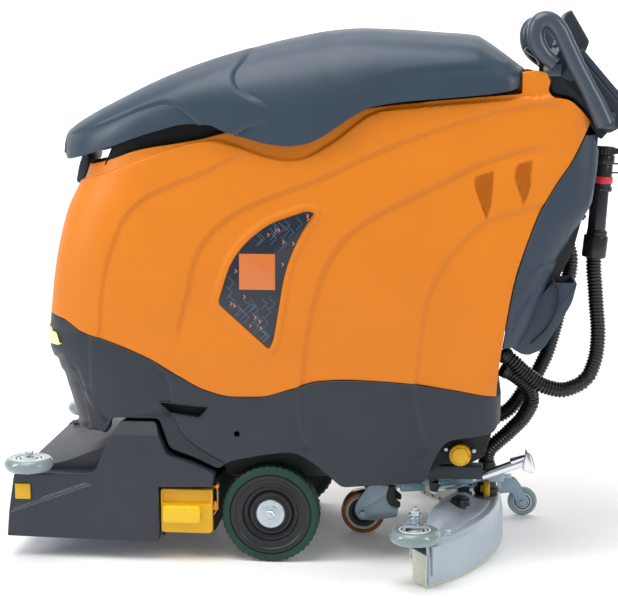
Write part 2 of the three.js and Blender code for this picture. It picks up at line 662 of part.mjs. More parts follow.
function deckHousing() {
  const top = [[-540, 60], [-528, 176, 8], [-430, 196, 30], [-336, 234, 16], [-318, 266, 8],
    [-306, 284, 6], [-236, 284, 6], [-228, 200], [-228, 60]];
  const hollow = [[-533, 30], [-522, 168, 8], [-430, 176, 30], [-340, 180, 10], [-240, 176, 10],
    [-240, 30]];
  const inner = coverInner - gap;
  const shell = slabX(top, -inner, inner).subtract(slabX(hollow, -inner + 5, inner - 5));
  const divider = slabX([[-404, 150], [-395, 150], [-392, 180], [-407, 180]], -inner + 2, inner - 2);
  const roof = box(-inner + 2, inner - 2, -230, -114, 160, 168);
  const rearWall = box(-inner + 2, inner - 2, -116, -110, 100, 168);
  let whole = joined(shell, divider, roof, rearWall).subtract(box(-150, 90, -304, -238, 160, 278));
  for (const [, side] of sides) {
    const post = { x: side * frontRoller.x, y: frontRoller.y };
    whole = whole.add(joined(
      box(...span(side, coverInner - 30, frontRoller.x + 12), post.y - 14, post.y + 14, 182, 187),
      box(...span(side, coverInner - 30, coverInner - 6), post.y - 14, post.y + 14, 170, 186),
      disc(7, 182, 226, 'z', [post.x, post.y, 0], 10),
    ));
  }
  return whole;
}
node('deck_housing', deckHousing(), slate);

function brushMotor() {
  const can = disc(32, -140, 60, 'x', [0, -271, 232], 20);
  return can.add(box(58, 86, -300, -242, 200, 264));
}
node('brush_motor', brushMotor(), steel);

function brush(y) {
  const half = coverInner - 9;
  const { brushRadius, brushZ } = deck;
  return turned([[20, -half], [brushRadius, -half], [brushRadius, half], [20, half], [20, -half]],
    'x', [0, y, brushZ], 16);
}
node('brush_front', brush(brushY.front), bristle);
node('brush_rear', brush(brushY.rear), bristle);

function debrisHopper() {
  const { front, rear, bottom, top, half } = hopper;
  const shape = [[front, bottom, 6], [rear, bottom, 8], [rear, top, 6], [front, top, 4]];
  const tray = slabX(shape, -half + 44, half);
  const scoop = [[front - 10, bottom + 26], [front + 6, bottom + 26, 4], [front + 14, bottom + 6, 4],
    [rear - 6, bottom + 6, 6], [rear - 6, top - 6, 6], [front - 10, top - 6]];
  const grip = slabX([[-218, 84, 4], [-141, 84, 4], [-139, 119, 4], [-218, 119, 4]], half - 4, half + 14);
  return tray.subtract(slabX(scoop, -half + 50, half - 34)).add(grip);
}
node('debris_hopper', debrisHopper(), yellow);
node('hopper_latch', joined(
  box(236, 242, -112, -104, 104, 158),
  disc(4, 232, 246, 'x', [0, -108, 158], 8),
), amber);

// ---- bumper rollers ----------------------------------------------------------------------------
function bumperRoller(place) {
  const { radius, thickness } = bumper;
  const half = thickness / 2;
  const profile = [[8, -half], [38, -half], [radius, -half / 3], [radius, half / 3], [38, half],
    [8, half], [8, -half]];
  return turned(profile, 'z', place, 16);
}
for (const [name, side] of sides) {
  node(`front_roller_${name}`,
    bumperRoller([side * frontRoller.x, frontRoller.y, frontRoller.z]), clearGrey);
}

// ---- squeegee ----------------------------------------------------------------------------------
const arcCentre = squeegee.apexY - squeegee.arc;
const arcHalf = Math.asin(squeegee.halfX / squeegee.arc);

// A band of a ring about the squeegee's arc centre, in plan.
function band(inner, outer, halfAngle, z0, z1) {
  const shape = new THREE.Shape();
  const [from, to] = [Math.PI / 2 - halfAngle, Math.PI / 2 + halfAngle];
  shape.absarc(0, 0, outer, from, to, false);
  shape.absarc(0, 0, inner, to, from, true);
  const bent = new THREE.ExtrudeGeometry(shape, {
    depth: z1 - z0, curveSegments: 9, bevelEnabled: false,
  });
  return solid(bent.translate(0, arcCentre, z0));
}

const outerR = squeegee.arc - 5;
const innerR = squeegee.arc - squeegee.depth - 4;

function squeegeeBody() {
  const { bottom, top } = squeegee;
  let shell = joined(
    band(outerR - 4, outerR, arcHalf - 0.01, bottom, top),
    band(innerR, innerR + 4, arcHalf - 0.03, bottom + 20, top),
    band(innerR, outerR, arcHalf - 0.02, top - 4, top),
  );
  const wing = [[-340, 330], [-200, 340, 20], [-70, 374, 20], [70, 374, 20], [200, 340, 20],
    [340, 330], [340, 350], [0, 440], [-340, 350]];
  shell = shell.add(slabZ(wing, top - 4, top));
  for (const [, side] of sides) {
    const { x, y, z } = squeegeeRoller;
    shell = shell.add(joined(
      box(...span(side, 318, x + 6), y - 16, y + 10, top - 4, top),
      disc(7, top - 3, z + 40, 'z', [side * x, y, 0], 10),
      disc(6, top - 3, 122, 'z', [side * starKnob.x, starKnob.y, 0], 10),
    ));
  }
  const tailArm = box(tail.x - 14, tail.x + 14, 430, tail.y - 22, top - 4, top);
  return joined(shell, tailArm).subtract(disc(24.5, 60, 100, 'z', [0, swingY, 0], 16));
}
node('squeegee_body', squeegeeBody(), steel);
node('blade_rear', band(outerR + gap, squeegee.arc, arcHalf, 0, 66), creamRubber);
node('blade_front', band(innerR - 4 - gap, innerR - gap, arcHalf - 0.04, 0, 70), creamRubber);

function suctionNozzle() {
  return turned([[0, 70], [24, 70], [24, 152], [20, 158], [0, 158]],
    'z', [0, swingY, 0], 16);
}
node('suction_nozzle', suctionNozzle(), black);

function squeegeeArm() {
  const { y, z } = pivot;
  const [low, high] = [z - 10, z + 12];
  const half = 68;
  const pin = disc(9, -half - 12, half + 12, 'x', [0, y, z], 12);
  return joined(
    box(-half - 6, -half, y - 14, 412, low, high),
    box(half, half + 6, y - 14, 412, low, high),
    box(-half - 6, half + 6, 392, 412, low, high),
    pin.subtract(box(-half, half, y - 12, y + 12, low - 2, high)),
    box(-36, 36, 406, swingY + 34, low, high),
  ).subtract(disc(24.5, low - 5, high + 5, 'z', [0, swingY, 0], 16));
}
node('squeegee_arm', squeegeeArm(), steel);

for (const [name, side] of sides) {
  const { x, y, z } = squeegeeRoller;
  node(`squeegee_roller_${name}`, bumperRoller([side * x, y, z]), clearGrey);
  const knobProfile = [[6.4, 0], [12, 0], [12, 14], [21, 16], [21, 30], [12, 34], [6.4, 34], [6.4, 0]];
  const { x: knobX, y: knobY } = starKnob;
  node(`star_knob_${name}`,
    turned(knobProfile, 'z', [side * knobX, knobY, squeegee.top + gap], 12), black);
}

// The polished lever that lifts the squeegee: a flat bar rising to a cross handle.
function liftLever() {
  const bar = [[322, 118, 6], [338, 118], [442, 148, 30], [528, 184, 4], [524, 194, 4],
    [438, 160, 30], [336, 130], [322, 130, 6]];
  return joined(
    slabX(bar, lever.x - 8, lever.x + 8),
    rod([lever.x - 35, 525, 192], [lever.x + 35, 525, 192], 8, 10),
    disc(8, lever.x - 11, lever.x + 11, 'x', [0, lever.y, lever.z], 12),
  );
}
node('lift_lever', liftLever(), polished);

// A small fork that trails behind the squeegee, its head under the squeegee's tail arm.
function tailFork() {
  const { x, y, radius } = tail;
  const [outer, inner] = [15, 12];
  const front = y - 44;
  const room = disc(radius + 2.5, -inner, inner, 'x', [x, y, radius], 24);
  return joined(
    box(x - outer, x + outer, front, y + 8, radius - 8, radius + 24).subtract(
      box(x - inner, x + inner, y - 12, y + 9, 0, radius + 30)),
    box(x - outer, x + outer, front, y - 26, radius + 20, squeegee.top - 4 - gap),
  ).subtract(room).add(joined(
    disc(5, inner - 1, outer, 'x', [x, y, radius], 10),
    disc(5, -outer, 1 - inner, 'x', [x, y, radius], 10),
  ));
}
node('tail_fork', tailFork(), steel);

const tailTread = [[0, -10], [28, -10], [33, -6], [33, 6], [28, 10], [0, 10]];
node('tail_wheel', turned(tailTread, 'x', [tail.x, tail.y, tail.radius], 24), clearGrey);

// ---- yellow filter knob on the left of the base -----------------------------------------------
const knobPlace = [0, 383, 228];
node('side_knob', joined(
  disc(22, 203, 226, 'x', knobPlace, 20),
  disc(14, 201, 204, 'x', knobPlace, 16),
), yellow);

// ---- hoses -------------------------------------------------------------------------------------
node('hose_drain', tube(route.drain, hose.drain / 2, hose.sides, hose.step), black);
node('hose_suction', tube(route.suction, hose.suction / 2, hose.sides, hose.step), black);
node('hose_upper', tube(route.upper, hose.upper / 2, hose.sides, hose.step), black);

export default machine;
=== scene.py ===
"""The looks of a walk-behind wet and dry floor scrubber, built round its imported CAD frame.

Lengths below are in millimetres from the drive axle's middle on the floor, as in the CAD source:
X to the machine's left, Y to its rear, Z up. at() turns them into the frame's metres.
"""

import json
import math

import bmesh
import bpy
import numpy as np
from mathutils import Matrix, Vector


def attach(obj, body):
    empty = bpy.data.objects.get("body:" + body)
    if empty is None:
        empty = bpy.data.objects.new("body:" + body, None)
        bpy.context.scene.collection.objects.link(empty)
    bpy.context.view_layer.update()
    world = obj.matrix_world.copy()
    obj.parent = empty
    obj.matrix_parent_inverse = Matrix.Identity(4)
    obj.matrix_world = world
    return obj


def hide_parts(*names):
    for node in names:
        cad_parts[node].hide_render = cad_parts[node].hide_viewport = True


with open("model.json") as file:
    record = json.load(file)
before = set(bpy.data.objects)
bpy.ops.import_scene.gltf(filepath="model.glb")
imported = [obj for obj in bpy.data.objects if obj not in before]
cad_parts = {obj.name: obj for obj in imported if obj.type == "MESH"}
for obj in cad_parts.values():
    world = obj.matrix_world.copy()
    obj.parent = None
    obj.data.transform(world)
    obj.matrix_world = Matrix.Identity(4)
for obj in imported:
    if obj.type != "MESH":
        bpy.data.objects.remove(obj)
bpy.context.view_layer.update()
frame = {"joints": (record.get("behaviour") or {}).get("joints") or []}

MM = 0.001
JOINTS = {joint["name"]: joint for joint in frame["joints"]}
AXLE_Y = JOINTS["drive_left"]["pos_m"][1]
scene = bpy.context.scene


def at(points):
    """Millimetres from the axle to metres in the frame."""
    moved = np.asarray(points, float) * MM
    moved[..., 1] += AXLE_Y
    return moved


# ---- camera --------------------------------------------------------------------------------
EYE = (3478, 382, 1020)                 # where the camera stands
YAW, PITCH = math.radians(5.34), math.radians(8.48)


def make_camera():
    """Long lens from the machine's left, a little above it and turned a little to the front."""
    data = bpy.data.cameras.new("camera")
    data.sensor_width = 36
    data.lens = 96.12
    data.clip_end = 50
    camera = bpy.data.objects.new("camera", data)
    camera.location = at(EYE)
    level = math.cos(PITCH)
    aim = Vector((-math.cos(YAW) * level, -math.sin(YAW) * level, -math.sin(PITCH)))
    camera.rotation_euler = aim.to_track_quat("-Z", "Y").to_euler()
    scene.collection.objects.link(camera)
    scene.camera = camera


make_camera()


# ---- materials -----------------------------------------------------------------------------
def tone(red, green, blue):
    """A colour as seen, 0 to 255, in the linear values that shaders take."""
    def linear(value):
        share = value / 255
        return share / 12.92 if share <= 0.04045 else ((share + 0.055) / 1.055) ** 2.4
    return (linear(red), linear(green), linear(blue), 1)


def ramp_node(tree, source, low, high, low_color, high_color):
    ramp = tree.nodes.new("ShaderNodeValToRGB")
    ramp.color_ramp.elements[0].position = low
    ramp.color_ramp.elements[1].position = high
    ramp.color_ramp.elements[0].color = low_color
    ramp.color_ramp.elements[1].color = high_color
    tree.links.new(source, ramp.inputs[0])
    return ramp.outputs[0]


def noise_node(tree, coords, scale, detail=4, stretch=(1, 1, 1)):
    mapping = tree.nodes.new("ShaderNodeMapping")
    mapping.inputs["Scale"].default_value = stretch
    noise = tree.nodes.new("ShaderNodeTexNoise")
    noise.inputs["Scale"].default_value = scale
    noise.inputs["Detail"].default_value = detail
    tree.links.new(coords, mapping.inputs[0])
    tree.links.new(mapping.outputs[0], noise.inputs["Vector"])
    return noise.outputs[0]


def surface(name, color, slot, rough=0.45, metal=0.0, vary=0.08, grain=900, grain_depth=0.15,
            stretch=(1, 1, 1), coat=0.0, glow=None, through=0.0, grime=0.0):
    """A shader with a fine grain, a slow change of colour and gloss, and a little dirt."""
    smudge = 0.08                       # how far the roughness strays either way
    material = bpy.data.materials.new(name)
    material.use_nodes = True
    tree = material.node_tree
    shader = tree.nodes["Principled BSDF"]
    coords = tree.nodes.new("ShaderNodeTexCoord").outputs["Object"]
    dark = tuple(c * (1 - vary) for c in color[:3]) + (1,)
    light = tuple(min(1, c * (1 + vary)) for c in color[:3]) + (1,)
    broad = noise_node(tree, coords, 7, 3)
    colors = ramp_node(tree, broad, 0.3, 0.7, dark, light)
    if grime:
        spots = noise_node(tree, coords, 38, 8)
        mix = tree.nodes.new("ShaderNodeMix")
        mix.data_type = "RGBA"
        factor = ramp_node(tree, spots, 0.55, 0.78, (0, 0, 0, 1), (grime, grime, grime, 1))
        tree.links.new(factor, mix.inputs["Factor"])
        tree.links.new(colors, mix.inputs["A"])
        mix.inputs["B"].default_value = tone(96, 90, 82)
        colors = mix.outputs["Result"]
    tree.links.new(colors, shader.inputs["Base Color"])
    patchy = noise_node(tree, coords, 24, 5, stretch)
    span = tree.nodes.new("ShaderNodeMapRange")
    span.inputs["To Min"].default_value = max(0.02, rough - smudge)
    span.inputs["To Max"].default_value = min(1, rough + smudge)
    tree.links.new(patchy, span.inputs["Value"])
    tree.links.new(span.outputs[0], shader.inputs["Roughness"])
    fine = noise_node(tree, coords, grain, 2, stretch)
    bump = tree.nodes.new("ShaderNodeBump")
    bump.inputs["Strength"].default_value = grain_depth
    bump.inputs["Distance"].default_value = 0.0004
    tree.links.new(fine, bump.inputs["Height"])
    tree.links.new(bump.outputs[0], shader.inputs["Normal"])
    shader.inputs["Metallic"].default_value = metal
    shader.inputs["Coat Weight"].default_value = coat
    shader.inputs["Transmission Weight"].default_value = through
    if glow:
        shader.inputs["Emission Color"].default_value = color
        shader.inputs["Emission Strength"].default_value = glow
    material["slot"] = slot
    return material


orange = surface("orange_plastic", tone(222, 124, 0), "tank_orange", rough=0.5, vary=0.03,
                 grain=520, grain_depth=0.22)
slate = surface("slate_plastic", tone(38, 46, 56), "base_slate", rough=0.46, vary=0.06,
                grain=700, grain_depth=0.25)
deck_slate = surface("deck_slate", tone(42, 49, 59), "base_slate", rough=0.5, vary=0.06,
                     grain=700, grain_depth=0.25)
lid_slate = surface("lid_slate", tone(48, 64, 80), "lid_slate", rough=0.42, vary=0.05,
                    grain=620, grain_depth=0.18)
panel_slate = surface("panel_slate", tone(48, 62, 77), "base_slate", rough=0.48, vary=0.05,
                      grain=700, grain_depth=0.2)
handle_grey = surface("handle_grey", tone(62, 74, 87), "lid_slate", rough=0.33, vary=0.05,
                      grain=800, grain_depth=0.15, coat=0.2)
inner_black = surface("inner_black", tone(22, 25, 29), "battery_black", rough=0.7, vary=0.2,
                      grain=400, grain_depth=0.4)
black_plastic = surface("black_plastic", tone(30, 33, 38), "black_plastic", rough=0.4, vary=0.12,
                        grain=900, grain_depth=0.2)
rim_black = surface("rim_black", tone(22, 26, 31), "black_plastic", rough=0.42, vary=0.1,
                    grain=700, grain_depth=0.25)
hose_black = surface("hose_black", tone(24, 27, 32), "hose_black", rough=0.26, vary=0.15,
                     grain=500, grain_depth=0.15, coat=0.15)
yellow = surface("yellow_plastic", tone(228, 176, 4), "touch_yellow", rough=0.38, vary=0.04,
                 grain=800, grain_depth=0.15)
# Painted shade: a darker copy of the hopper's yellow for the shadowed band along the top of its recess.
shade_yellow = surface("shade_yellow_plastic", tone(198, 152, 10), "touch_yellow", rough=0.5, vary=0.08,
                      grain=800, grain_depth=0.2)
red = surface("red_plastic", tone(214, 40, 52), "stop_red", rough=0.35, vary=0.05)
lens = surface("lamp_lens", tone(250, 246, 170), "lamp_lens", rough=0.15, vary=0.04, coat=0.5,
               glow=0.35, grain=300, grain_depth=0.3)
steel = surface("blue_grey_steel", tone(148, 168, 182), "steel_grey", rough=0.36, metal=0.55,
                vary=0.07, grain=300, grain_depth=0.12, grime=0.12)
zinc = surface("zinc_steel", tone(186, 198, 206), "zinc_steel", rough=0.3, metal=0.85, vary=0.1,
               grain=260, grain_depth=0.15, stretch=(1, 1, 6), grime=0.1)
polished = surface("polished_steel", tone(226, 230, 236), "bright_steel", rough=0.16, metal=1.0,
                   vary=0.03, grain=200, grain_depth=0.06, stretch=(8, 1, 1))
arm_black = surface("arm_black", tone(46, 42, 42), "black_plastic", rough=0.45, vary=0.15,
                    grain=500, grain_depth=0.3)
tyre_green = surface("tyre_green", tone(8, 56, 46), "green_tyre", rough=0.62, vary=0.12,
                     grain=600, grain_depth=0.4, grime=0.15)
amber = surface("amber_tread", tone(150, 84, 28), "amber_tyre", rough=0.32, vary=0.12, coat=0.3,
                through=0.12)
cream = surface("cream_ring", tone(214, 208, 190), "amber_tyre", rough=0.5, vary=0.05)
clear_grey = surface("clear_grey", tone(142, 160, 164), "grey_roller", rough=0.22, vary=0.06,
                     coat=0.5, through=0.15, grain=300, grain_depth=0.1)
blade_cream = surface("blade_rubber", tone(206, 212, 198), "blade_rubber", rough=0.5, vary=0.06,
                      through=0.05, grime=0.15)
brush_blue = surface("brush_bristle", tone(38, 84, 150), "brush_bristle", rough=0.6, vary=0.25,
                     grain=1400, grain_depth=0.8)
white_ring = surface("pale_ring", tone(226, 232, 232), "grey_roller", rough=0.45, vary=0.06)
screen_glass = surface("screen_glass", tone(18, 24, 32), "base_slate", rough=0.12, vary=0.1, coat=0.8)
screen_mark = surface("screen_mark", tone(70, 190, 170), "base_slate", rough=0.3, vary=0.1, glow=0.6)
band_red = surface("band_red", tone(232, 44, 66), "hose_black", rough=0.35, vary=0.04, coat=0.3)
# Painted highlight: pale lines that stand for light caught on the edges of the deck covers' grooves.
deck_highlight_line = surface("deck_highlight_line", tone(128, 138, 150), "base_slate", rough=0.4, vary=0.06)
# Painted highlight: a lighter copy of the hopper's yellow for its grip, which stands out into the light.
lit_yellow = surface("lit_yellow_plastic", tone(240, 196, 6), "touch_yellow", rough=0.3, vary=0.03,
                        grain=800, grain_depth=0.12, coat=0.15)
copper = surface("copper_strip", tone(206, 134, 62), "amber_tyre", rough=0.3, metal=0.5, vary=0.08)
squeegee_grey = surface("squeegee_grey", tone(178, 190, 202), "steel_grey", rough=0.34, metal=0.35,
                        vary=0.06, grain=300, grain_depth=0.1, grime=0.08)
link_blue = surface("link_blue", tone(112, 140, 154), "steel_grey", rough=0.35, metal=0.5, vary=0.08,
                    grain=300, grain_depth=0.12)
# Painted shade: the frame's steel is made a dark grey so that it reads as the shadow inside the wheel
# arches. Its grime spots are dirt.
frame_painted_shade = surface("frame_painted_shade", tone(58, 64, 70), "steel_grey", rough=0.5, metal=0.3, vary=0.12,
                     grime=0.2)


# ---- small maths ---------------------------------------------------------------------------
def smooth(table):
    """A smooth curve through (position, value) pairs that doesn't overshoot them."""
    x, y = np.array(table, float).T
    step = np.diff(x)
    slope = np.diff(y) / step
    tangent = np.zeros(len(x))
    tangent[0], tangent[-1] = slope[0], slope[-1]
    for i in range(1, len(x) - 1):
        if slope[i - 1] * slope[i] > 0:
            a, b = 2 * step[i] + step[i - 1], step[i] + 2 * step[i - 1]
            tangent[i] = (a + b) / (a / slope[i - 1] + b / slope[i])

    def value(at_x):
        p = np.clip(np.asarray(at_x, float), x[0], x[-1])
        i = np.clip(np.searchsorted(x, p) - 1, 0, len(x) - 2)
        t = (p - x[i]) / step[i]
        return ((1 + 2 * t) * (1 - t) ** 2 * y[i] + t * (1 - t) ** 2 * step[i] * tangent[i]
                + t * t * (3 - 2 * t) * y[i + 1] + t * t * (t - 1) * step[i] * tangent[i + 1])
    return value


def curve_through(points, count):
    """Evenly spaced points of a smooth curve through the points, in any number of dimensions."""
    p = np.array(points, float)
    p = np.vstack([2 * p[0] - p[1], p, 2 * p[-1] - p[-2]])
    fine = []
    for i in range(1, len(p) - 2):
        for t in np.linspace(0, 1, 24, endpoint=False):
            fine.append(0.5 * (2 * p[i] + (p[i + 1] - p[i - 1]) * t
                               + (2 * p[i - 1] - 5 * p[i] + 4 * p[i + 1] - p[i + 2]) * t ** 2
                               + (3 * p[i] - p[i - 1] - 3 * p[i + 1] + p[i + 2]) * t ** 3))
    fine.append(p[-2])
    return spaced(np.array(fine), count)


def lengths(line):
    return np.concatenate([[0], np.cumsum(np.linalg.norm(np.diff(line, axis=0), axis=1))])


def spaced(line, count):
    """The same line with its points at even distances."""
    run = lengths(line)
    return sampled(line, np.linspace(0, run[-1], count))


def sampled(line, distances):
    run = lengths(line)
    return np.stack([np.interp(distances, run, line[:, k]) for k in range(line.shape[1])], axis=1)


def from_line(points, line):
    """For each 2-D point: its distance to the line, positive on the line's left, and how far along
    the line, 0 to 1, the nearest place is."""
    best = np.full(len(points), 1e9)
    side = np.zeros(len(points))
    along = np.zeros(len(points))
    run = lengths(line)
    for i in range(len(line) - 1):
        a, b = line[i], line[i + 1]
        edge = b - a
        t = np.clip(((points - a) @ edge) / (edge @ edge), 0, 1)
        gap = points - (a + t[:, None] * edge)
        distance = np.hypot(gap[:, 0], gap[:, 1])
        nearer = distance < best
        cross = edge[0] * gap[:, 1] - edge[1] * gap[:, 0]
        side = np.where(nearer, np.where(cross >= 0, 1, -1), side)
        along = np.where(nearer, (run[i] + t * (run[i + 1] - run[i])) / run[-1], along)
        best = np.where(nearer, distance, best)
    return best * side, along


def ease(value):
    t = np.clip(value, 0, 1)
    return t * t * (3 - 2 * t)


def rounded(points, steps=5):
    """A closed outline from (u, v) or (u, v, cut) points, with each cut corner rounded."""
    flat = [np.array(p[:2], float) for p in points]
    line = []
    for i, corner in enumerate(points):
        cut = corner[2] if len(corner) > 2 else 0
        here = flat[i]
        if not cut:
            line.append(here)
            continue
        before = flat[i - 1] - here
        after = flat[(i + 1) % len(flat)] - here
        reach = min(cut, 0.48 * np.linalg.norm(before), 0.48 * np.linalg.norm(after))
        a = here + before / np.linalg.norm(before) * reach
        b = here + after / np.linalg.norm(after) * reach
        for t in np.linspace(0, 1, steps + 1):
            line.append((1 - t) ** 2 * a + 2 * t * (1 - t) * here + t * t * b)
    return np.array(line)


# ---- shapes: (points, faces), in millimetres -------------------------------------------------
def merged(*shapes):
    points, faces = [], []
    start = 0
    for shape_points, shape_faces in shapes:
        points.append(np.asarray(shape_points, float).reshape(-1, 3))
        faces += [tuple(int(i) + start for i in face) for face in shape_faces]
        start += len(points[-1])
    return np.vstack(points), faces


def mirrored(shape):
    """The same shape on the other side of the machine."""
    points, faces = shape
    return points * (-1, 1, 1), [tuple(reversed(face)) for face in faces]


def moved(shape, offset):
    return shape[0] + np.array(offset, float), shape[1]


def both(shape):
    return merged(shape, mirrored(shape))


def span(side, near, far):
    """Low and high X of something between two distances out from the middle, on one side."""
    return sorted((side * near, side * far))


def grid_faces(rows, columns, wrap=False):
    faces = []
    for r in range(rows - 1):
        for c in range(columns if wrap else columns - 1):
            d = (c + 1) % columns
            a = r * columns
            faces.append((a + c, a + d, a + columns + d, a + columns + c))
    return faces


def rings(stack, wrap_rows=False):
    """A skin through closed rings of equal count. Its ends are flat faces unless it wraps."""
    stack = np.asarray(stack, float)
    rows, columns = stack.shape[:2]
    if wrap_rows:
        stack = np.concatenate([stack, stack[:1]])
        faces = []
        for r in range(rows):
            for c in range(columns):
                d, s = (c + 1) % columns, (r + 1) % rows
                faces.append((r * columns + c, r * columns + d, s * columns + d, s * columns + c))
        return stack[:-1].reshape(-1, 3), faces
    faces = grid_faces(rows, columns, wrap=True)
    faces.append(tuple(reversed(range(columns))))
    faces.append(tuple(range((rows - 1) * columns, rows * columns)))
    return stack.reshape(-1, 3), faces


def shrunk(outline, inset):
    """A closed outline drawn in by inset, for outlines that run anticlockwise."""
    before = outline - np.roll(outline, 1, axis=0)
    after = np.roll(outline, -1, axis=0) - outline

    def normal(edge):
        size = np.maximum(np.linalg.norm(edge, axis=1), 1e-9)
        return np.stack([-edge[:, 1], edge[:, 0]], axis=1) / size[:, None]
    n1, n2 = normal(before), normal(after)
    mid = n1 + n2
    mid /= np.maximum(np.linalg.norm(mid, axis=1), 1e-9)[:, None]
    stretch = 1 / np.maximum((mid * n1).sum(axis=1), 0.5)
    return outline + mid * (inset * stretch)[:, None]


def turn_anticlockwise(outline):
    x, y = outline.T
    area = (x * np.roll(y, -1) - y * np.roll(x, -1)).sum()
    return outline if area > 0 else outline[::-1]


PLACES = {  # how an outline's u, v and depth become x, y and z
    "x": lambda u, v, w: (w, u, v),
    "y": lambda u, v, w: (v, w, u),
    "z": lambda u, v, w: (u, v, w),
}


def slab(points, low, high, axis="x", edge=1.2, steps=3):
    """An outline pushed from low to high along an axis, with its edges rounded.
    Along x the outline is (y, z), along z it is (x, y) and along y it is (z, x)."""
    outline = turn_anticlockwise(rounded(points))
    edge = min(edge, 0.45 * (high - low))
    levels = []
    for k in range(steps + 1):
        turn = math.pi / 2 * k / steps
        levels.append((edge * (1 - math.sin(turn)), low + edge * (1 - math.cos(turn))))
    for inset, height in list(reversed(levels)):
        levels.append((inset, low + high - height))
    stack = []
    for inset, height in levels:
        u, v = shrunk(outline, inset).T
        stack.append(np.stack(np.broadcast_arrays(*PLACES[axis](u, v, np.full(len(u), height))), axis=1))
    return rings(stack)


def box(x0, x1, y0, y1, z0, z1, edge=1.2):
    return slab([(x0, y0), (x1, y0), (x1, y1), (x0, y1)], z0, z1, "z", edge)


TURNS = {
    "x": lambda r, a, h: (h, r * np.cos(a), r * np.sin(a)),
    "y": lambda r, a, h: (r * np.sin(a), h, r * np.cos(a)),
    "z": lambda r, a, h: (r * np.cos(a), r * np.sin(a), h),
}


def turned(profile, axis, place=(0, 0, 0), segments=48, steps=4):
    """A closed (radius, height[, cut]) profile turned about an axis. Where it starts and ends on
    the axis it closes itself, otherwise it makes a ring."""
    solid = profile[0][0] == 0 and profile[-1][0] == 0
    line = rounded(profile, steps)
    angles = np.linspace(0, 2 * math.pi, segments, endpoint=False)
    if solid:
        line = line[1:-1]
    stack = []
    for radius, height in line:
        spot = TURNS[axis](radius, angles, height)
        stack.append(np.stack(np.broadcast_arrays(*spot), axis=1) + np.array(place, float))
    area = sum(a[1] * b[0] - a[0] * b[1] for a, b in zip(line, np.roll(line, -1, axis=0)))
    shape = rings(stack, wrap_rows=not solid)
    height_rises = line[-1][1] > line[0][1]
    outward = height_rises if solid else area < 0
    if not outward:
        shape = shape[0], [tuple(reversed(face)) for face in shape[1]]
    return shape


def disc(radius, low, high, axis, place=(0, 0, 0), edge=1.0, segments=48):
    return turned([(0, low), (radius, low, edge), (radius, high, edge), (0, high)], axis, place, segments)


def frames_along(path):
    """Two steady directions square to the path at each of its points."""
    tangent = np.gradient(path, axis=0)
    tangent /= np.linalg.norm(tangent, axis=1)[:, None]
    side = np.cross(tangent[0], (1, 0, 0) if abs(tangent[0][0]) < 0.8 else (0, 1, 0))
    sides = []
    for direction in tangent:
        side = side - direction * (side @ direction)
        side = side / np.linalg.norm(side)
        sides.append(side)
    sides = np.array(sides)
    return sides, np.cross(tangent, sides)


def sweep(path, radii, sides=20):
    """A round tube of changing radius along a path, with flat ends."""
    path = np.asarray(path, float)
    radii = np.broadcast_to(radii, len(path))
    u, v = frames_along(path)
    angles = np.linspace(0, 2 * math.pi, sides, endpoint=False)
    stack = [p + r * (np.outer(np.cos(angles), a) + np.outer(np.sin(angles), b))
             for p, r, a, b in zip(path, radii, u, v)]
    return rings(stack)


def rod(start, end, radius, edge=0.8, sides=24):
    """A straight round bar with rounded ends."""
    start, end = np.array(start, float), np.array(end, float)
    length = np.linalg.norm(end - start)
    edge = min(edge, 0.4 * length, 0.4 * radius)
    turns = np.linspace(0, math.pi / 2, 4)
    places = [edge * (1 - math.cos(t)) for t in turns]
    radii = [radius - edge * (1 - math.sin(t)) for t in turns]
    places += [length - p for p in reversed(places)]
    radii += list(reversed(radii))
    path = start + np.outer(np.array(places) / length, end - start)
    u, v = frames_along(np.array([start, end]))
    angles = np.linspace(0, 2 * math.pi, sides, endpoint=False)
    stack = [p + r * (np.outer(np.cos(angles), u[0]) + np.outer(np.sin(angles), v[0]))
             for p, r in zip(path, radii)]
    return rings(stack)


def flat_bar(path, across, thick, up):
    """A flat bar bent along a path, with rounded long edges. up is the side it is thin along."""
    path = np.asarray(path, float)
    tangent = np.gradient(path, axis=0)
    tangent /= np.linalg.norm(tangent, axis=1)[:, None]
    wide = np.cross(tangent, up)
    wide /= np.linalg.norm(wide, axis=1)[:, None]
    high = np.cross(wide, tangent)
    across = np.broadcast_to(across, len(path))
    thick = np.broadcast_to(thick, len(path))
    stack = []
    for p, a, b, w, t in zip(path, wide, high, across, thick):
        r = min(0.4 * t, 0.4 * w)
        ring = []
        for cx, cz, start in ((1, 1, 0), (-1, 1, 90), (-1, -1, 180), (1, -1, 270)):
            for turn in np.radians([start, start + 45, start + 90]):
                ring.append(p + a * (cx * (w / 2 - r) + r * math.cos(turn))
                            + b * (cz * (t / 2 - r) + r * math.sin(turn)))
        stack.append(ring)
    return rings(stack)


def hex_bolt(place, axis, radius, height, direction=1):
    """A hexagon head with a domed washer below it. direction is which way the head points."""
    angles = np.radians(np.arange(0, 360, 60))
    stack = []
    for share, level in ((1.0, 0), (1.0, height * 0.85), (0.86, height)):
        spot = TURNS[axis](radius * share, angles, level * direction)
        stack.append(np.stack(np.broadcast_arrays(*spot), axis=1) + np.array(place, float))
    head = rings(stack)
    if direction < 0:
        head = head[0], [tuple(reversed(face)) for face in head[1]]
    washer_low, washer_high = sorted((-1.2 * direction, 0.4 * direction))
    washer = disc(radius * 1.45, washer_low, washer_high, axis, place, 0.4, 28)
    return merged(head, washer)


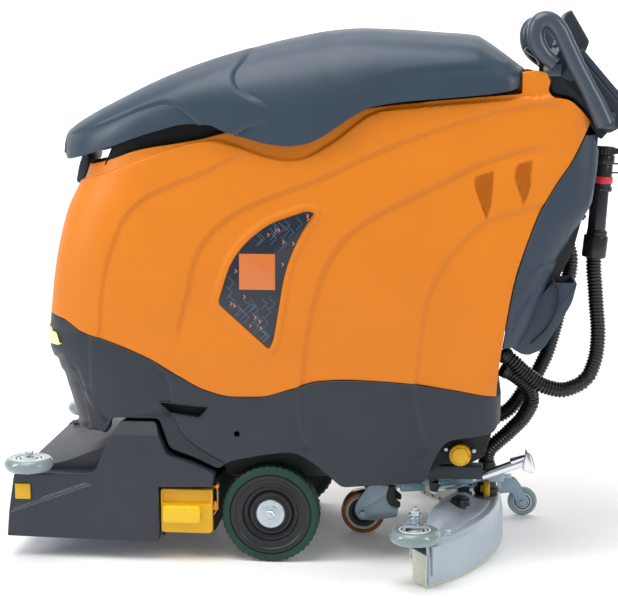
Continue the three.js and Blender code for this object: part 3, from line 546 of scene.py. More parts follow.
def skin(surface_points, wall, lip, steps=4):
    """A shell from a grid of points: it keeps the grid's outline, rounds its rim by lip and gives
    it a thickness of wall on the side away from the grid's normals."""
    base = np.asarray(surface_points, float)
    turns = np.linspace(0, math.pi / 2, steps + 1)
    inset = lip * (1 - np.sin(turns))       # distance from the rim, ending on it
    drop = lip * (1 - np.cos(turns))        # depth below the surface there

    def refit(lines):
        fitted = []
        for line in lines:
            total = lengths(line)[-1]
            inner = np.linspace(lip, total - lip, len(line))[1:-1]
            places = np.concatenate([inset[::-1], inner, total - inset])
            fitted.append(sampled(line, places))
        return np.array(fitted)

    grid = refit(base.transpose(1, 0, 2)).transpose(1, 0, 2)
    grid = refit(grid)
    rows, columns = grid.shape[:2]

    def drops(count):
        depth = np.zeros(count)
        depth[:steps + 1] = drop[::-1]
        depth[-steps - 1:] = drop
        return depth
    depth = np.maximum(drops(rows)[:, None], drops(columns)[None, :])
    normal = np.cross(np.gradient(grid, axis=1), np.gradient(grid, axis=0))
    normal /= np.maximum(np.linalg.norm(normal, axis=2), 1e-9)[..., None]
    outer = grid - normal * depth[..., None]
    inner = grid - normal * wall
    points = np.concatenate([outer.reshape(-1, 3), inner.reshape(-1, 3)])
    size = rows * columns
    front = grid_faces(rows, columns)
    faces = [tuple(reversed(face)) for face in front]
    faces += [tuple(i + size for i in face) for face in front]
    rim = ([(0, c) for c in range(columns)] + [(r, columns - 1) for r in range(1, rows)]
           + [(rows - 1, c) for c in range(columns - 2, -1, -1)] + [(r, 0) for r in range(rows - 2, 0, -1)])
    index = [r * columns + c for r, c in rim]
    for a, b in zip(index, index[1:] + index[:1]):
        faces.append((a, b, b + size, a + size))
    return points, faces


# ---- making pieces ---------------------------------------------------------------------------
def as_object(name, shape):
    points, faces = shape
    mesh = bpy.data.meshes.new(name)
    mesh.from_pydata(at(points).tolist(), [], faces)
    mesh.validate()
    made = bpy.data.objects.new(name, mesh)
    scene.collection.objects.link(made)
    return made


def piece(name, shape, body, material, stands_for=(), angle=35):
    """Puts a shape in the scene, riding on a CAD body and standing for the named CAD nodes."""
    made = shape if isinstance(shape, bpy.types.Object) else as_object(name, shape)
    made.data.materials.clear()
    made.data.materials.append(material)
    made.data.shade_smooth()
    made.data.set_sharp_from_angle(angle=math.radians(angle))
    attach(made, body)
    if stands_for:
        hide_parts(*stands_for)
    return made


def cut(made, *cutters):
    """Takes the cutters' shapes out of an object."""
    tool = as_object("cutter", merged(*cutters))
    modifier = made.modifiers.new("cut", "BOOLEAN")
    modifier.operation = "DIFFERENCE"
    modifier.solver = "MANIFOLD"
    modifier.object = tool
    depsgraph = bpy.context.evaluated_depsgraph_get()
    result = bpy.data.meshes.new_from_object(made.evaluated_get(depsgraph))
    made.modifiers.clear()
    old = made.data
    made.data = result
    bpy.data.meshes.remove(old)
    bpy.data.objects.remove(tool)
    return made


# ---- hoses -----------------------------------------------------------------------------------
ROUTES = {  # the middle line of each hose and its diameter
    "hose_drain": (33, [(120, 473, 416), (118, 492, 400), (115, 506, 386), (112, 520, 374),
                        (109, 538, 360), (106, 556, 350), (99, 592, 342), (92, 624, 352),
                        (89, 637, 362), (86, 648, 376), (80, 660, 414), (75, 663, 462),
                        (70, 659, 512), (66, 655, 560), (62, 652.5, 590), (60, 652, 618.5)]),
    "hose_suction": (34, [(50, 478, 372), (46, 494, 362), (42, 506, 353), (38, 516, 344),
                          (33, 525, 333), (28, 530, 320), (24, 532, 306), (20, 530, 292),
                          (13, 516, 264), (10, 506, 251), (7, 494, 238), (4.5, 481, 224),
                          (3, 468, 212), (1, 446, 190), (0, 440.6, 174), (0, 440, 159.6)]),
    "hose_upper": (33, [(-20, 600, 640), (-20, 606, 622), (-20, 610, 604), (-19, 609.5, 582),
                        (-18, 606, 560), (-18, 600, 534), (-18, 592, 508), (-18, 580, 456),
                        (-18, 566, 404), (-18, 556, 379), (-18, 544, 354), (-18, 531, 333),
                        (-18, 516, 314), (-18, 503, 294), (-18, 489, 277), (-18, 472, 264),
                        (-18, 455, 256)]),
}


def corrugated(points, diameter, pitch=7.0, depth=2.6):
    """A ribbed hose. Each rib is a rounded ring, wider than the wall between ribs."""
    rough = curve_through(points, 400)
    total = lengths(rough)[-1]
    ribs = round(total / pitch)
    per_rib = 6
    path = spaced(rough, ribs * per_rib + 1)
    phase = (np.arange(len(path)) % per_rib) / per_rib
    height = np.clip(0.5 + 0.75 * np.cos(2 * math.pi * phase), 0, 1)
    radii = diameter / 2 - depth * (1 - height)
    return path, total, sweep(path, radii, 28)


for hose_name, (diameter, points) in ROUTES.items():
    path, total, shape = corrugated(points, diameter)
    hose = piece("corrugated_" + hose_name, shape, "chassis", hose_black, [hose_name], 60)
    at(points[0])
    at(path).tolist()


# ---- the body's outer form -------------------------------------------------------------------
SIDES = (("left", 1), ("right", -1))
FRONT_CUT, REAR_CUT = 165, 70           # how far the plan's corners are cut for their rounding
front_y = smooth([(150, -380), (262, -428), (330, -448), (407, -474), (433, -481), (490, -477),
                  (598, -464), (709, -438), (786, -402), (830, -388)])
rear_y = smooth([(150, 452), (290, 470), (350, 476), (430, 497), (500, 530), (600, 566), (671, 600),
                 (741, 642), (850, 650), (1000, 640)])
half_x = smooth([(150, 244), (490, 246), (800, 240), (840, 236), (1000, 232)])
CORNER_RUN = 268                        # length of the front corner's curve in plan
seam_z = smooth([(-520, 500), (-431, 494), (-385, 471), (-325, 452), (-244, 419), (-182, 383),
                 (-129, 356), (-75, 344), (-20, 345), (45, 362), (100, 378), (160, 382),
                 (262, 378), (361, 366), (457, 352), (480, 350)])


def on_body(s, z, rear_limit=None):
    """Where a point of the left half lies. s is its Y on the straight side, and runs on round the
    front corner to the middle of the front."""
    front = front_y(z)
    rear = rear_y(z) if rear_limit is None else np.minimum(rear_y(z), rear_limit)
    half = half_x(z)
    corner = front + FRONT_CUT
    t = np.clip((corner - s) / CORNER_RUN, 0, 1)
    x = half - FRONT_CUT * t ** 2
    y = np.where(s < corner, front + FRONT_CUT * (1 - t) ** 2, s)
    x = np.where(s < corner - CORNER_RUN, half - FRONT_CUT - (corner - CORNER_RUN - s), x)
    turn = 1 - np.sqrt(np.clip((rear - s) / REAR_CUT, 0, 1))
    x = np.where(s > rear - REAR_CUT, half - REAR_CUT * turn ** 2, x)
    x = np.where(s > rear, half - REAR_CUT - (s - rear), x)
    return np.stack([np.maximum(x, 0), np.minimum(y, rear), np.broadcast_to(z, np.shape(x))], axis=-1)


def front_middle(z):
    """The value of s at the middle of the front."""
    return front_y(z) + FRONT_CUT - CORNER_RUN - (half_x(z) - FRONT_CUT)


def whole(left_half):
    """Both halves of a grid whose first column lies on the middle line."""
    right = left_half[:, :0:-1] * (-1, 1, 1)
    return np.concatenate([right, left_half], axis=1)


def pushed(grid, depth):
    """A grid moved inwards, square to itself, by a depth at each point."""
    normal = np.cross(np.gradient(grid, axis=1), np.gradient(grid, axis=0))
    normal /= np.maximum(np.linalg.norm(normal, axis=2), 1e-9)[..., None]
    return grid - normal * depth[..., None]


def recess_inside(points, line, depth, ramp=5.0, flip=1):
    """A drop in level on one side of a line, as a moulded panel edge."""
    distance, _ = from_line(points, curve_through(line, 90))
    return depth * ease(0.5 + flip * distance / ramp)


def crease(points, line, depth, ramp=4.0, fade=70.0, flip=1):
    """A drop in level that starts sharply at a line and fades away from it."""
    distance, along = from_line(points, curve_through(line, 90))
    d = flip * distance
    ends = ease(along / 0.06) * ease((1 - along) / 0.06)
    return depth * ease(0.5 + d / ramp) * np.exp(-np.maximum(d, 0) / fade) * ends


# ---- tank -------------------------------------------------------------------------------------
TANK_REAR = [(455, 352), (457, 388), (463, 446), (472, 514), (485, 586), (502, 643), (521, 695),
             (538, 734), (564, 780), (594, 826), (628, 896)]
TANK_TOP = [(-420, 802), (-342, 818), (-270, 838), (-139, 861), (-79, 877), (0, 894), (150, 917),
            (247, 930), (300, 935), (350, 948), (410, 970), (470, 990), (520, 997), (555, 988),
            (585, 958), (610, 925), (628, 896)]
LID_SEAT = [(240, 929), (315, 936), (494, 951, 4), (494, 1030), (240, 1030)]
CONSOLE_SEAT = [(538, 1030), (538, 996, 4), (548, 975, 6), (543, 958, 6), (553, 944, 8),
                (586, 940, 12), (610, 918, 12), (628, 896.5), (680, 900), (680, 1030)]
LABEL = [(92, 718, 5), (61, 670, 30), (40, 622, 40), (29, 583, 40), (20, 526, 40), (9, 462, 30),
         (0, 442, 12), (-12, 452, 12), (-104, 534, 10), (-94, 568, 30), (-78, 617, 30), (-47, 660, 30),
         (1, 697, 26), (74, 722, 8)]
BODY_CREASE = [(-186, 440), (-184, 488), (-178, 515), (-167, 555), (-158, 603), (-142, 643),
               (-112, 683), (-65, 718), (-6, 745), (80, 778), (122, 796), (182, 824), (261, 858),
               (339, 886), (417, 911), (476, 924), (526, 931), (600, 936)]
FRONT_CREASE = [(-356, 440), (-347, 477), (-342, 545), (-331, 605), (-313, 660), (-290, 708),
                (-255, 742), (-215, 764), (-143, 792), (-103, 812), (-60, 836), (-44, 850)]
STEP_LINE = [(-440, 765), (-350, 787), (-262, 819), (-182, 846), (-118, 858), (-75, 850), (-45, 840),
             (-10, 828), (30, 820), (60, 822), (86, 832), (134, 862), (173, 893), (201, 911),
             (240, 921), (330, 929), (470, 940)]
SIDE_CREASE = [(58, 320), (62, 355), (68, 421), (78, 499), (90, 546), (104, 592), (126, 638),
               (166, 682), (222, 719), (286, 752), (341, 780), (399, 810), (458, 832), (505, 844),
               (560, 850)]
REAR_CREASE = [(289, 345), (291, 371), (297, 425), (304, 486), (313, 540), (330, 588), (356, 632),
               (390, 672), (421, 700), (460, 715), (499, 726), (560, 742)]
VENTS = [((397, 788), (442, 803), (438, 738), (428, 706)),
         ((470, 815), (517, 824), (513, 768), (500, 732))]
vent_depth = 14


def side_points(grid):
    """The (y, z) of each point of a grid, as one list."""
    return grid[..., 1:].reshape(-1, 2)


def tank_grid(columns=420, rows=150):
    """The tank's left half: columns from the front's middle to the rear edge, rows going up."""
    bend = 300                                    # behind this Y the columns lean with the rear edge
    start = front_middle(640)
    last = TANK_REAR[0][0]
    top_rear = np.array([p for p in TANK_TOP if p[0] >= bend], float)
    top_z = smooth(TANK_TOP[:12])
    rear = curve_through(TANK_REAR, 80)
    share = np.linspace(0, 1, columns)
    s_low = start + (last - start) * share
    front_count = int((s_low < bend).sum())
    v = np.linspace(0, 1, rows)[:, None]
    s = np.repeat(s_low[None, :], rows, axis=0)
    y_low = on_body(s_low, 480)[:, 1]
    y_high = on_body(s_low, 815)[:, 1]
    z = (1 - v) * (seam_z(y_low) + 0.4) + v * top_z(y_high)
    rest = (s_low[front_count:] - bend) / (last - bend)
    run = lengths(top_rear)[-1]
    high = sampled(top_rear, rest * run)
    low = np.stack([s_low[front_count:], seam_z(s_low[front_count:]) + 0.4], axis=1)
    rear_at = sampled(rear, v[:, 0] * lengths(rear)[-1])
    straight = (1 - v) * low[-1] + v * high[-1]
    patch = ((1 - v[..., None]) * low[None] + v[..., None] * high[None]
             + rest[None, :, None] * (rear_at - straight)[:, None, :])
    s[:, front_count:] = patch[..., 0]
    z[:, front_count:] = patch[..., 1]
    return on_body(s, z)


def tank_depth(grid):
    """How far the tank's moulded panels lie below its outer form."""
    points = side_points(grid)
    front = np.clip((grid[..., 0].reshape(-1) - 60) / 60, 0, 1)
    depth = recess_inside(points, STEP_LINE, 6.5, 4, 1) * front
    depth += crease(points, BODY_CREASE, 5.2, 4, 110, -1)
    depth += crease(points, FRONT_CREASE, 4.6, 4, 90, -1)
    depth += crease(points, SIDE_CREASE, 5.0, 5, 120, -1)
    depth += crease(points, REAR_CREASE, 4.6, 8, 80, -1)
    rim = turn_anticlockwise(rounded(LABEL))
    gap, _ = from_line(points, np.vstack([rim, rim[:1]]))
    depth -= 2.6 * ease((15 + gap) / 6) * (gap < 0) + 2.6 * (gap >= 0)
    return depth.reshape(grid.shape[:2])


def label_form(inset, low, high, side):
    """The label's outline as a solid between two X planes."""
    outline = shrunk(turn_anticlockwise(rounded(LABEL)), inset)
    near, far = span(side, low, high)
    return slab([tuple(p) for p in outline], near, far, "x", 0.3)


def vent_cutter(corners, side):
    """A wedge that goes deep at its rear edge and comes out to nothing at its front corner."""
    outside = 275
    front_top, rear_top, rear_low, low = corners
    surface_x = float(half_x(770)) - 1.0
    floor_x = {front_top: surface_x - 4, rear_top: surface_x - vent_depth,
               rear_low: surface_x - vent_depth, low: surface_x - 5}
    points = [(side * floor_x[c], *c) for c in corners] + [(side * outside, *c) for c in corners]
    faces = [(0, 1, 2, 3), (7, 6, 5, 4)] + [(i, 4 + i, 4 + (i + 1) % 4, (i + 1) % 4) for i in range(4)]
    if side > 0:
        faces = [tuple(reversed(face)) for face in faces]
    return np.array(points, float), faces


def make_tank():
    half = tank_grid()
    grid = whole(pushed(half, tank_depth(half)))
    tank = as_object("tank", skin(grid, 9, 3.2))
    cutters = [slab(seat, -300, 300) for seat in (LID_SEAT, CONSOLE_SEAT)]
    for _, side in SIDES:
        cutters.append(label_form(0, 243.5, 275, side))
        cutters += [vent_cutter(corners, side) for corners in VENTS]
    cut(tank, *cutters)
    piece("tank", tank, "chassis", orange, ["tank_shell"], 40)


make_tank()


def make_labels():
    """A dark film with thin chevrons and a plain orange square, and no lettering."""
    film = surface("label_film", tone(26, 34, 50), "label_film", rough=0.3, vary=0.18, grain=300,
                   grain_depth=0.03, coat=0.4)
    square = surface("label_square", tone(214, 116, 50), "label_film", rough=0.32, vary=0.02, coat=0.3)
    pale = surface("label_line", tone(108, 134, 158), "label_film", rough=0.35, vary=0.02)
    bright = surface("label_mark", tone(238, 150, 80), "label_film", rough=0.35, vary=0.02)
    for name, side in SIDES:
        piece("label_" + name, label_form(1.2, 243, 245.2, side), "chassis", film, ["side_label_" + name])
        near, far = span(side, 245.0, 245.7)
        panel = slab([(-60, 563, 1), (12, 563, 1), (12, 635, 1), (-60, 635, 1)], near, far, "x", 0.2)
        piece("label_square_" + name, panel, "chassis", square)
        piece("label_lines_" + name, chevrons(side, 34, 24, 0.8), "chassis", pale)
        piece("label_marks_" + name, chevrons(side, 16, 7, 1.8), "chassis", bright)


def encloses(closed, y, z):
    """Whether a closed line goes round a point: it crosses the level beside it an odd number of
    times."""
    (y0, z0), (y1, z1) = closed[:-1].T, closed[1:].T
    level = (z0 > z) != (z1 > z)
    rise = np.where(level, z1 - z0, 1)
    crossing = y0 + (z - z0) / rise * (y1 - y0)
    return bool((level & (crossing > y)).sum() % 2)


def chevrons(side, count, size, thick):
    """Thin arrow heads scattered over the label, clear of its square."""
    draw = np.random.default_rng(count * 7 + 3)
    rim = shrunk(turn_anticlockwise(rounded(LABEL)), 2 + size * 0.45)
    closed = np.vstack([rim, rim[:1]])
    shapes = []
    tries = 0
    near, far = span(side, 245.0, 245.5)
    while len(shapes) < count and tries < 4000:
        tries += 1
        y, z = draw.uniform((-100, 450), (80, 722))
        gap, _ = from_line(np.array([[y, z]]), closed)
        over_square = -62 - size / 2 < y < 14 + size / 2 and 560 - size < z < 638 + size
        inside = gap[0] > 0 and encloses(closed, y, z)
        if not inside or over_square:
            continue
        a, t = size * 0.5, thick
        arrow = [(y - a / 2, z + a), (y - a / 2 + t, z + a), (y + a / 2 + t, z),
                 (y - a / 2 + t, z - a), (y - a / 2, z - a), (y + a / 2, z)]
        shapes.append(slab(arrow, near, far, "x", 0.1, 1))
    return merged(*shapes)


make_labels()


# ---- base --------------------------------------------------------------------------------------
BASE_REAR = 464
BASE_EDGE = [(-700, 262), (-346, 262, 10), (-322, 296, 10), (-226, 296, 10), (-206, 234, 12),
             (-150, 214, 20), (-106, 192, 10), (-84, 210, 10), (-20, 224, 20), (32, 231, 20),
             (60, 228, 20), (96, 205, 20), (146, 161, 10), (312, 175, 8), (330, 220, 20),
             (352, 262, 24), (451, 277, 6), (464, 298, 4), (800, 300)]
CORE = [(-205, 189), (326, 189), (344, 203), (404, 206), (432, 222), (444, 262), (452, 300),
        (450, 330), (350, 350), (-200, 330)]
GRIP_SLOT = [(-228, 332, 3), (-204, 307, 6), (-143, 298, 6), (-123, 323, 3)]
LAMP = [(-520, 474), (-520, 438), (-438, 440), (-455, 466, 4)]
BASE_CREASES = [  # line, depth, ramp, how far it fades
    ([(-368, 480), (-367, 455), (-368, 400), (-369, 344)], 4.0, 5, 60),
    ([(-240, 418), (-227, 403), (-205, 376), (-201, 339), (-200, 300)], 4.0, 4, 40),
    ([(-204, 330), (-196, 302), (-180, 266), (-148, 238), (-108, 214), (-80, 199)], 6.5, 6, 60),
    ([(56, 352), (57, 330), (59, 295), (68, 262), (84, 240)], 4.0, 6, 60),
    ([(290, 378), (291, 368), (294, 335), (302, 298), (314, 266), (330, 240)], 4.0, 8, 50),
]
CORNER_CREASES = [
    ([(-440, 420), (-428, 396), (-402, 347), (-387, 290), (-384, 262)], 10, 10, 70),
    ([(-404, 398), (-395, 376), (-378, 327), (-352, 299), (-330, 280)], 8, 14, 60),
]


def rounded_open(points):
    """An open outline with its cut corners rounded, as a table of height over Y."""
    line = rounded([(points[0][0], points[0][1])] + list(points[1:]))
    return lambda y: np.interp(y, line[:, 0], line[:, 1])


def base_grid(columns=330, rows=64):
    edge = rounded_open(BASE_EDGE)
    start = front_middle(400)
    stop = BASE_REAR + float(half_x(330)) - REAR_CUT
    s = np.linspace(start, stop, columns)
    y_low = on_body(s, 300, BASE_REAR)[:, 1]
    y_high = on_body(s, 470, BASE_REAR)[:, 1]
    y_low = np.where(s > BASE_REAR, 700, y_low)
    low = edge(y_low)
    high = seam_z(y_high) - 0.4
    v = np.linspace(0, 1, rows)[:, None]
    z = (1 - v) * low + v * high
    return on_body(np.repeat(s[None, :], rows, axis=0), z, BASE_REAR)


def base_depth(grid):
    points = side_points(grid)
    depth = np.zeros(len(points))
    for line, drop, ramp, fade in BASE_CREASES:
        depth += crease(points, line, drop, ramp, fade, -1)
    for line, drop, ramp, fade in CORNER_CREASES:
        depth += crease(points, line, drop, ramp, fade, -1)
    return depth.reshape(grid.shape[:2])


def make_base():
    half = base_grid()
    grid = whole(pushed(half, base_depth(half)))
    base = as_object("base", skin(grid, 9, 2.6))
    cutters = []
    for _, side in SIDES:
        near, far = span(side, 215, 275)
        cutters.append(slab(GRIP_SLOT, near, far))
        cutters.append(disc(6, near, far, "x", (0, -67, 268)))
        near, far = span(side, 100, 275)
        cutters.append(slab(LAMP, near, far))
    cut(base, *cutters)
    piece("base", base, "chassis", slate, ["base_shell"], 40)
    core = slab(CORE, -200, 200, "x", 3)
    arches = both(merged(
        box(178, 236, -118, -112, 205, 240),
        box(178, 236, 135, 141, 190, 236),
        box(178, 236, -118, 141, 234, 238),
        slab([(-236, 340), (-116, 330), (-130, 286), (-214, 292)], 214, 220, "x", 1),
    ))
    piece("base_core", merged(core, arches), "chassis", inner_black)
    rims = []
    for _, side in SIDES:
        near, far = span(side, 220, 246.6)
        outer = rounded(GRIP_SLOT)
        rims.append(ring_wall(outer, 1.6, near, far))
    piece("grip_slot_rims", merged(*rims), "chassis", slate, (), 50)


def ring_wall(outline, wall, low, high):
    """A thin wall that follows a closed outline in (y, z), pushed along x."""
    outline = turn_anticlockwise(np.asarray(outline, float))
    inner = shrunk(outline, wall)
    stack = []
    for line, x in ((outline, low), (outline, high - 0.6), (shrunk(outline, 0.5), high),
                    (shrunk(outline, wall - 0.5), high), (inner, high - 0.6), (inner, low)):
        stack.append(np.stack([np.full(len(line), float(x)), line[:, 0], line[:, 1]], axis=1))
    return rings(stack, wrap_rows=True)


make_base()


# ---- lid ---------------------------------------------------------------------------------------
lid_low = smooth([(-434, 822), (-424, 815), (-400, 820), (-342, 837), (-225, 876), (-158, 891), (-119, 890),
                  (-86, 877), (-33, 861), (6, 852), (39, 849), (72, 853), (105, 867), (137, 888),
                  (170, 910), (202, 925), (267, 936), (363, 944), (459, 955), (480, 962), (491, 990)])
lid_crown = smooth([(-434, 872), (-397, 894), (-319, 934), (-215, 982), (-77, 1029), (45, 1059),
                    (106, 1070), (173, 1075), (260, 1072), (327, 1067), (405, 1060), (418, 1053),
                    (491, 1000)])
lid_half = smooth([(-434, 105), (-415, 150), (-385, 186), (-342, 212), (-260, 236), (-160, 246),
                   (39, 251), (200, 246), (459, 236), (480, 226), (491, 205)])
LID_FLANGE = [(-440, 858), (-400, 870), (-372, 878), (-323, 894), (-263, 917), (-216, 931),
              (-196, 932), (-180, 926), (-151, 906), (-128, 886)]
LID_LOBE = [(-20, 1075), (-40, 1036), (-55, 1012), (-71, 989), (-73, 974), (-65, 958), (-44, 943),
            (-16, 931), (0, 916), (8, 900), (8, 880)]
LID_REAR = [(120, 940), (160, 958), (200, 972), (259, 990), (338, 999), (416, 1003), (480, 998)]


def lid_grid(stations=300, columns=110):
    y = np.linspace(-434, 491, stations)
    rise = np.ones(stations)
    closing = np.linspace(0, math.pi / 2, 7)[1:]
    front = -434 - 3.5 * np.sin(closing)
    rear = 491 + 2.5 * np.sin(closing)
    close = np.maximum(np.cos(closing) ** 0.35, 0.35)
    y_all = np.concatenate([front[::-1], y, rear])
    rise = np.concatenate([close[::-1], rise, close])
    turn = np.linspace(math.pi / 2, 0, 240)
    across = np.cos(turn) ** 0.55
    up = np.sin(turn) ** 0.62
    rows = []
    for station, share in zip(y_all, rise):
        low = float(lid_low(station))
        tall = max(float(lid_crown(station)) - low, 6) * share
        half = float(lid_half(station))
        line = np.stack([half * across, np.full(240, station), low + tall * up], axis=1)
        rows.append(spaced(line, columns))
    return np.array(rows)


def lid_depth(grid):
    points = side_points(grid)
    side = ease((grid[..., 0].reshape(-1) - 95) / 80)
    depth = crease(points, LID_FLANGE, -5.5, 3.5, 60, -1)
    distance, along = from_line(points, curve_through(LID_LOBE, 90))
    outer = ease(0.5 - distance / 9) * ease((1 - along) / 0.3)
    depth += 7.0 * outer * np.exp(-np.maximum(-distance, 0) / 140)
    depth += crease(points, LID_REAR, 3.4, 16, 60, 1)
    return (depth * side).reshape(grid.shape[:2])


def make_lid():
    half = lid_grid()
    grid = whole(pushed(half[::-1], lid_depth(half[::-1])))
    lid = as_object("lid", skin(grid, 6, 4))
    piece("lid", lid, "lid", lid_slate, ["lid_shell"], 45)
    lug = slab([(-424, 846, 4), (-419, 812, 6), (-411, 805, 5), (-400, 806, 5), (-398, 846)],
               -58, 58, "x", 3)
    pin = disc(4, -70, 70, "x", (0, -405, 817), 1, 24)
    piece("lid_hinge_lug", merged(lug, pin), "lid", lid_slate)
    # Painted shade: a black strip fills the gap between the lid's front and the tank, where there is only
    # shadow.
    gap_shade = [(-338, 806, 3), (-232, 838, 3), (-150, 850, 3), (-96, 862), (-98, 886), (-146, 896),
            (-225, 879), (-320, 848, 3)]
    piece("lid_gap_shade", slab(gap_shade, -206, 206, "x", 3), "chassis", inner_black)
    bracket = [(-413, 828, 4), (-401, 826), (-404, 792), (-417, 756, 6), (-431, 762, 6), (-424, 798, 10)]
    piece("lid_bracket", both(slab(bracket, 8, 60, "x", 3)), "chassis", lid_slate)


make_lid()


# ---- rear panel ----------------------------------------------------------------------------------
PANEL_CREASES = [
    ([(628, 880), (644, 850), (648, 830), (641, 775), (624, 718), (602, 665), (580, 618)], 3.4, 6, 40),
    ([(500, 560), (512, 590), (528, 612), (552, 622), (580, 618)], 4.0, 8, 50),
    ([(484, 480), (492, 514), (514, 548), (540, 578), (556, 606)], 4.0, 8, 40),
]


def panel_grid(columns=120, rows=150):
    rear = curve_through(TANK_REAR, 200)
    z = np.linspace(450, 872, rows)
    edge = np.interp(z, rear[:, 1], rear[:, 0]) + 1.8
    share = np.linspace(0, 1, columns)[None, :]
    stop = rear_y(z) + half_x(z) - REAR_CUT
    s = edge[:, None] + (stop - edge)[:, None] * share
    grid = on_body(s, np.repeat(z[:, None], columns, axis=1))
    return pushed(grid, np.full(grid.shape[:2], 2.0))


def make_rear_panel():
    half = panel_grid()
    points = side_points(half)
    depth = np.zeros(len(points))
    for line, drop, ramp, fade in PANEL_CREASES:
        depth += crease(points, line, drop, ramp, fade, 1)
    half = pushed(half, depth.reshape(half.shape[:2]))
    right = half[:, ::-1] * (-1, 1, 1)
    grid = np.concatenate([half, right[:, 1:]], axis=1)
    panel = as_object("rear_panel_skin", skin(grid, 5, 2))
    piece("rear_panel_skin", panel, "chassis", panel_slate, ["rear_panel"], 40)
    walls = pocket_walls()
    piece("rear_pocket", walls, "chassis", panel_slate)
    cord = [(560, 590), (571, 560), (566, 520), (548, 486), (520, 458)]
    line = [(218, y, z) for y, z in curve_through(cord, 40)]
    piece("pocket_trim", sweep(line, 1.8, 10), "chassis", inner_black)
    backing = [(474, 452), (505, 452), (600, 640), (640, 800), (644, 868), (600, 868), (560, 780),
               (500, 600)]
    piece("panel_backing", slab(backing, -196, 196, "x", 2), "chassis", inner_black)


def pocket_walls():
    """An open pocket that leans out of the panel: two cheeks, a front and a floor."""
    outer = [(474, 480), (480, 448, 12), (510, 432, 12), (545, 446, 12), (600, 540, 14),
             (609, 580, 3), (560, 580)]
    cheeks = [slab(outer, 96, 103, "x", 2.5), slab(outer, 207, 214, "x", 2.5)]
    front = [(514, 432, 12), (545, 446, 12), (600, 540, 14), (609, 580, 3), (602, 580, 3),
             (592, 545, 12), (540, 455, 10), (516, 441, 8), (500, 448, 6), (496, 440, 6)]
    return merged(*cheeks, slab(front, 98, 212, "x", 2))


make_rear_panel()


# ---- console, display and controls -------------------------------------------------------------
CONSOLE = [(552, 1000, 8), (566, 1044, 14), (590, 1044, 10), (702, 914, 6), (702, 894, 6),
           (663, 873, 8), (641, 887, 6), (613, 921, 10), (588, 943.5, 10), (556, 947, 8),
           (546.5, 958, 8), (551.5, 976, 6)]
SLOPE_TOP, SLOPE_END = np.array((590, 1044.0)), np.array((702, 914.0))
CONTROLS = {"stop": (150, 0.76), "key": (-150, 0.5), "dial": (-70, 0.64), "mode": (70, 0.64)}


def on_slope(x, share, height=0.0):
    """A point over the console's sloping face: across, share of the way down, height above it."""
    run = SLOPE_END - SLOPE_TOP
    out = np.array((-run[1], run[0])) / np.linalg.norm(run)
    y, z = SLOPE_TOP + run * share + out * height
    return (x, y, z)


def on_slope_rod(control, radius, low, high, edge=1.0):
    x, share = CONTROLS[control]
    return rod(on_slope(x, share, low), on_slope(x, share, high), radius, edge, 36)


def slope_plate(x0, x1, first, last, low, high, edge=0.8):
    corners = [on_slope(0, first, low), on_slope(0, last, low), on_slope(0, last, high),
               on_slope(0, first, high)]
    return slab([corner[1:] for corner in corners], x0, x1, "x", edge)


def make_console():
    body = as_object("console", slab(CONSOLE, -205, 205, "x", 6, 5))
    holes = [on_slope_rod("stop", 9.5, -10, 6, 0.2), on_slope_rod("mode", 14, -10, 6, 0.2)]
    sides = [slab([(576, 975, 6), (596, 1018, 6), (644, 962, 8), (622, 936, 14), (592, 958, 8)],
                  *span(side, 202.5, 220)) for _, side in SIDES]
    piece("console", cut(body, *holes, *sides), "chassis", slate, ["console_body"], 40)
    trim = [slope_plate(-190, 190, 0.12, 0.94, 0, 1.4)]
    trim += [slope_plate(side * 98 - 30, side * 98 + 30, 0.2, 0.44, 1, 2.6) for _, side in SIDES]
    trim += [slope_plate(*span(side, 196, 205), 0.1, 0.97, -1, 11, 2) for _, side in SIDES]
    piece("console_plate", merged(*trim), "chassis", panel_slate)
    cheeks = both(slab([(566, 985, 5), (590, 1022, 8), (606, 1008, 8), (592, 972, 6)], 205, 210, "x", 2))
    piece("console_cheeks", cheeks, "chassis", lid_slate)


# Painted shade: a black block under the console fills the gap to the tank, where there is only shadow.
def make_console_gap_shade():
    foot = [(586, 938, 4), (625, 893, 4), (642, 868, 4), (650, 862, 4), (664, 878, 3),
            (655, 900), (612, 935)]
    piece("console_gap_shade", slab(foot, -198, 198, "x", 2), "chassis", inner_black)


def make_display():
    casing = [(564, 1046, 3), (580, 1102, 4), (584, 1110, 4), (594, 1117, 5), (632, 1053, 6), (616, 1010)]
    piece("display_case", slab(casing, -75, 75, "x", 4, 4), "chassis", slate, ["display_panel"], 40)
    top, low = np.array((596.5, 1110.0)), np.array((628.5, 1056.0))
    run = (low - top) / np.linalg.norm(low - top)
    out = np.array((-run[1], run[0]))

    def tile(x0, x1, start, stop, depth):
        length = np.linalg.norm(low - top)
        a, b = top + run * length * start, top + run * length * stop
        return slab([a, b, b + out * depth, a + out * depth], x0, x1, "x", 0.4)
    piece("display_glass", tile(-66, 66, 0.04, 0.96, 1.4), "chassis", screen_glass)
    bars = [tile(-56 + 15 * k, -46 + 15 * k, 0.75 - 0.08 * k, 0.86, 1.9) for k in range(4)]
    bars += [tile(16, 56, 0.16 + 0.2 * k, 0.28 + 0.2 * k, 1.9) for k in range(3)]
    piece("display_marks", merged(*bars), "chassis", screen_mark)


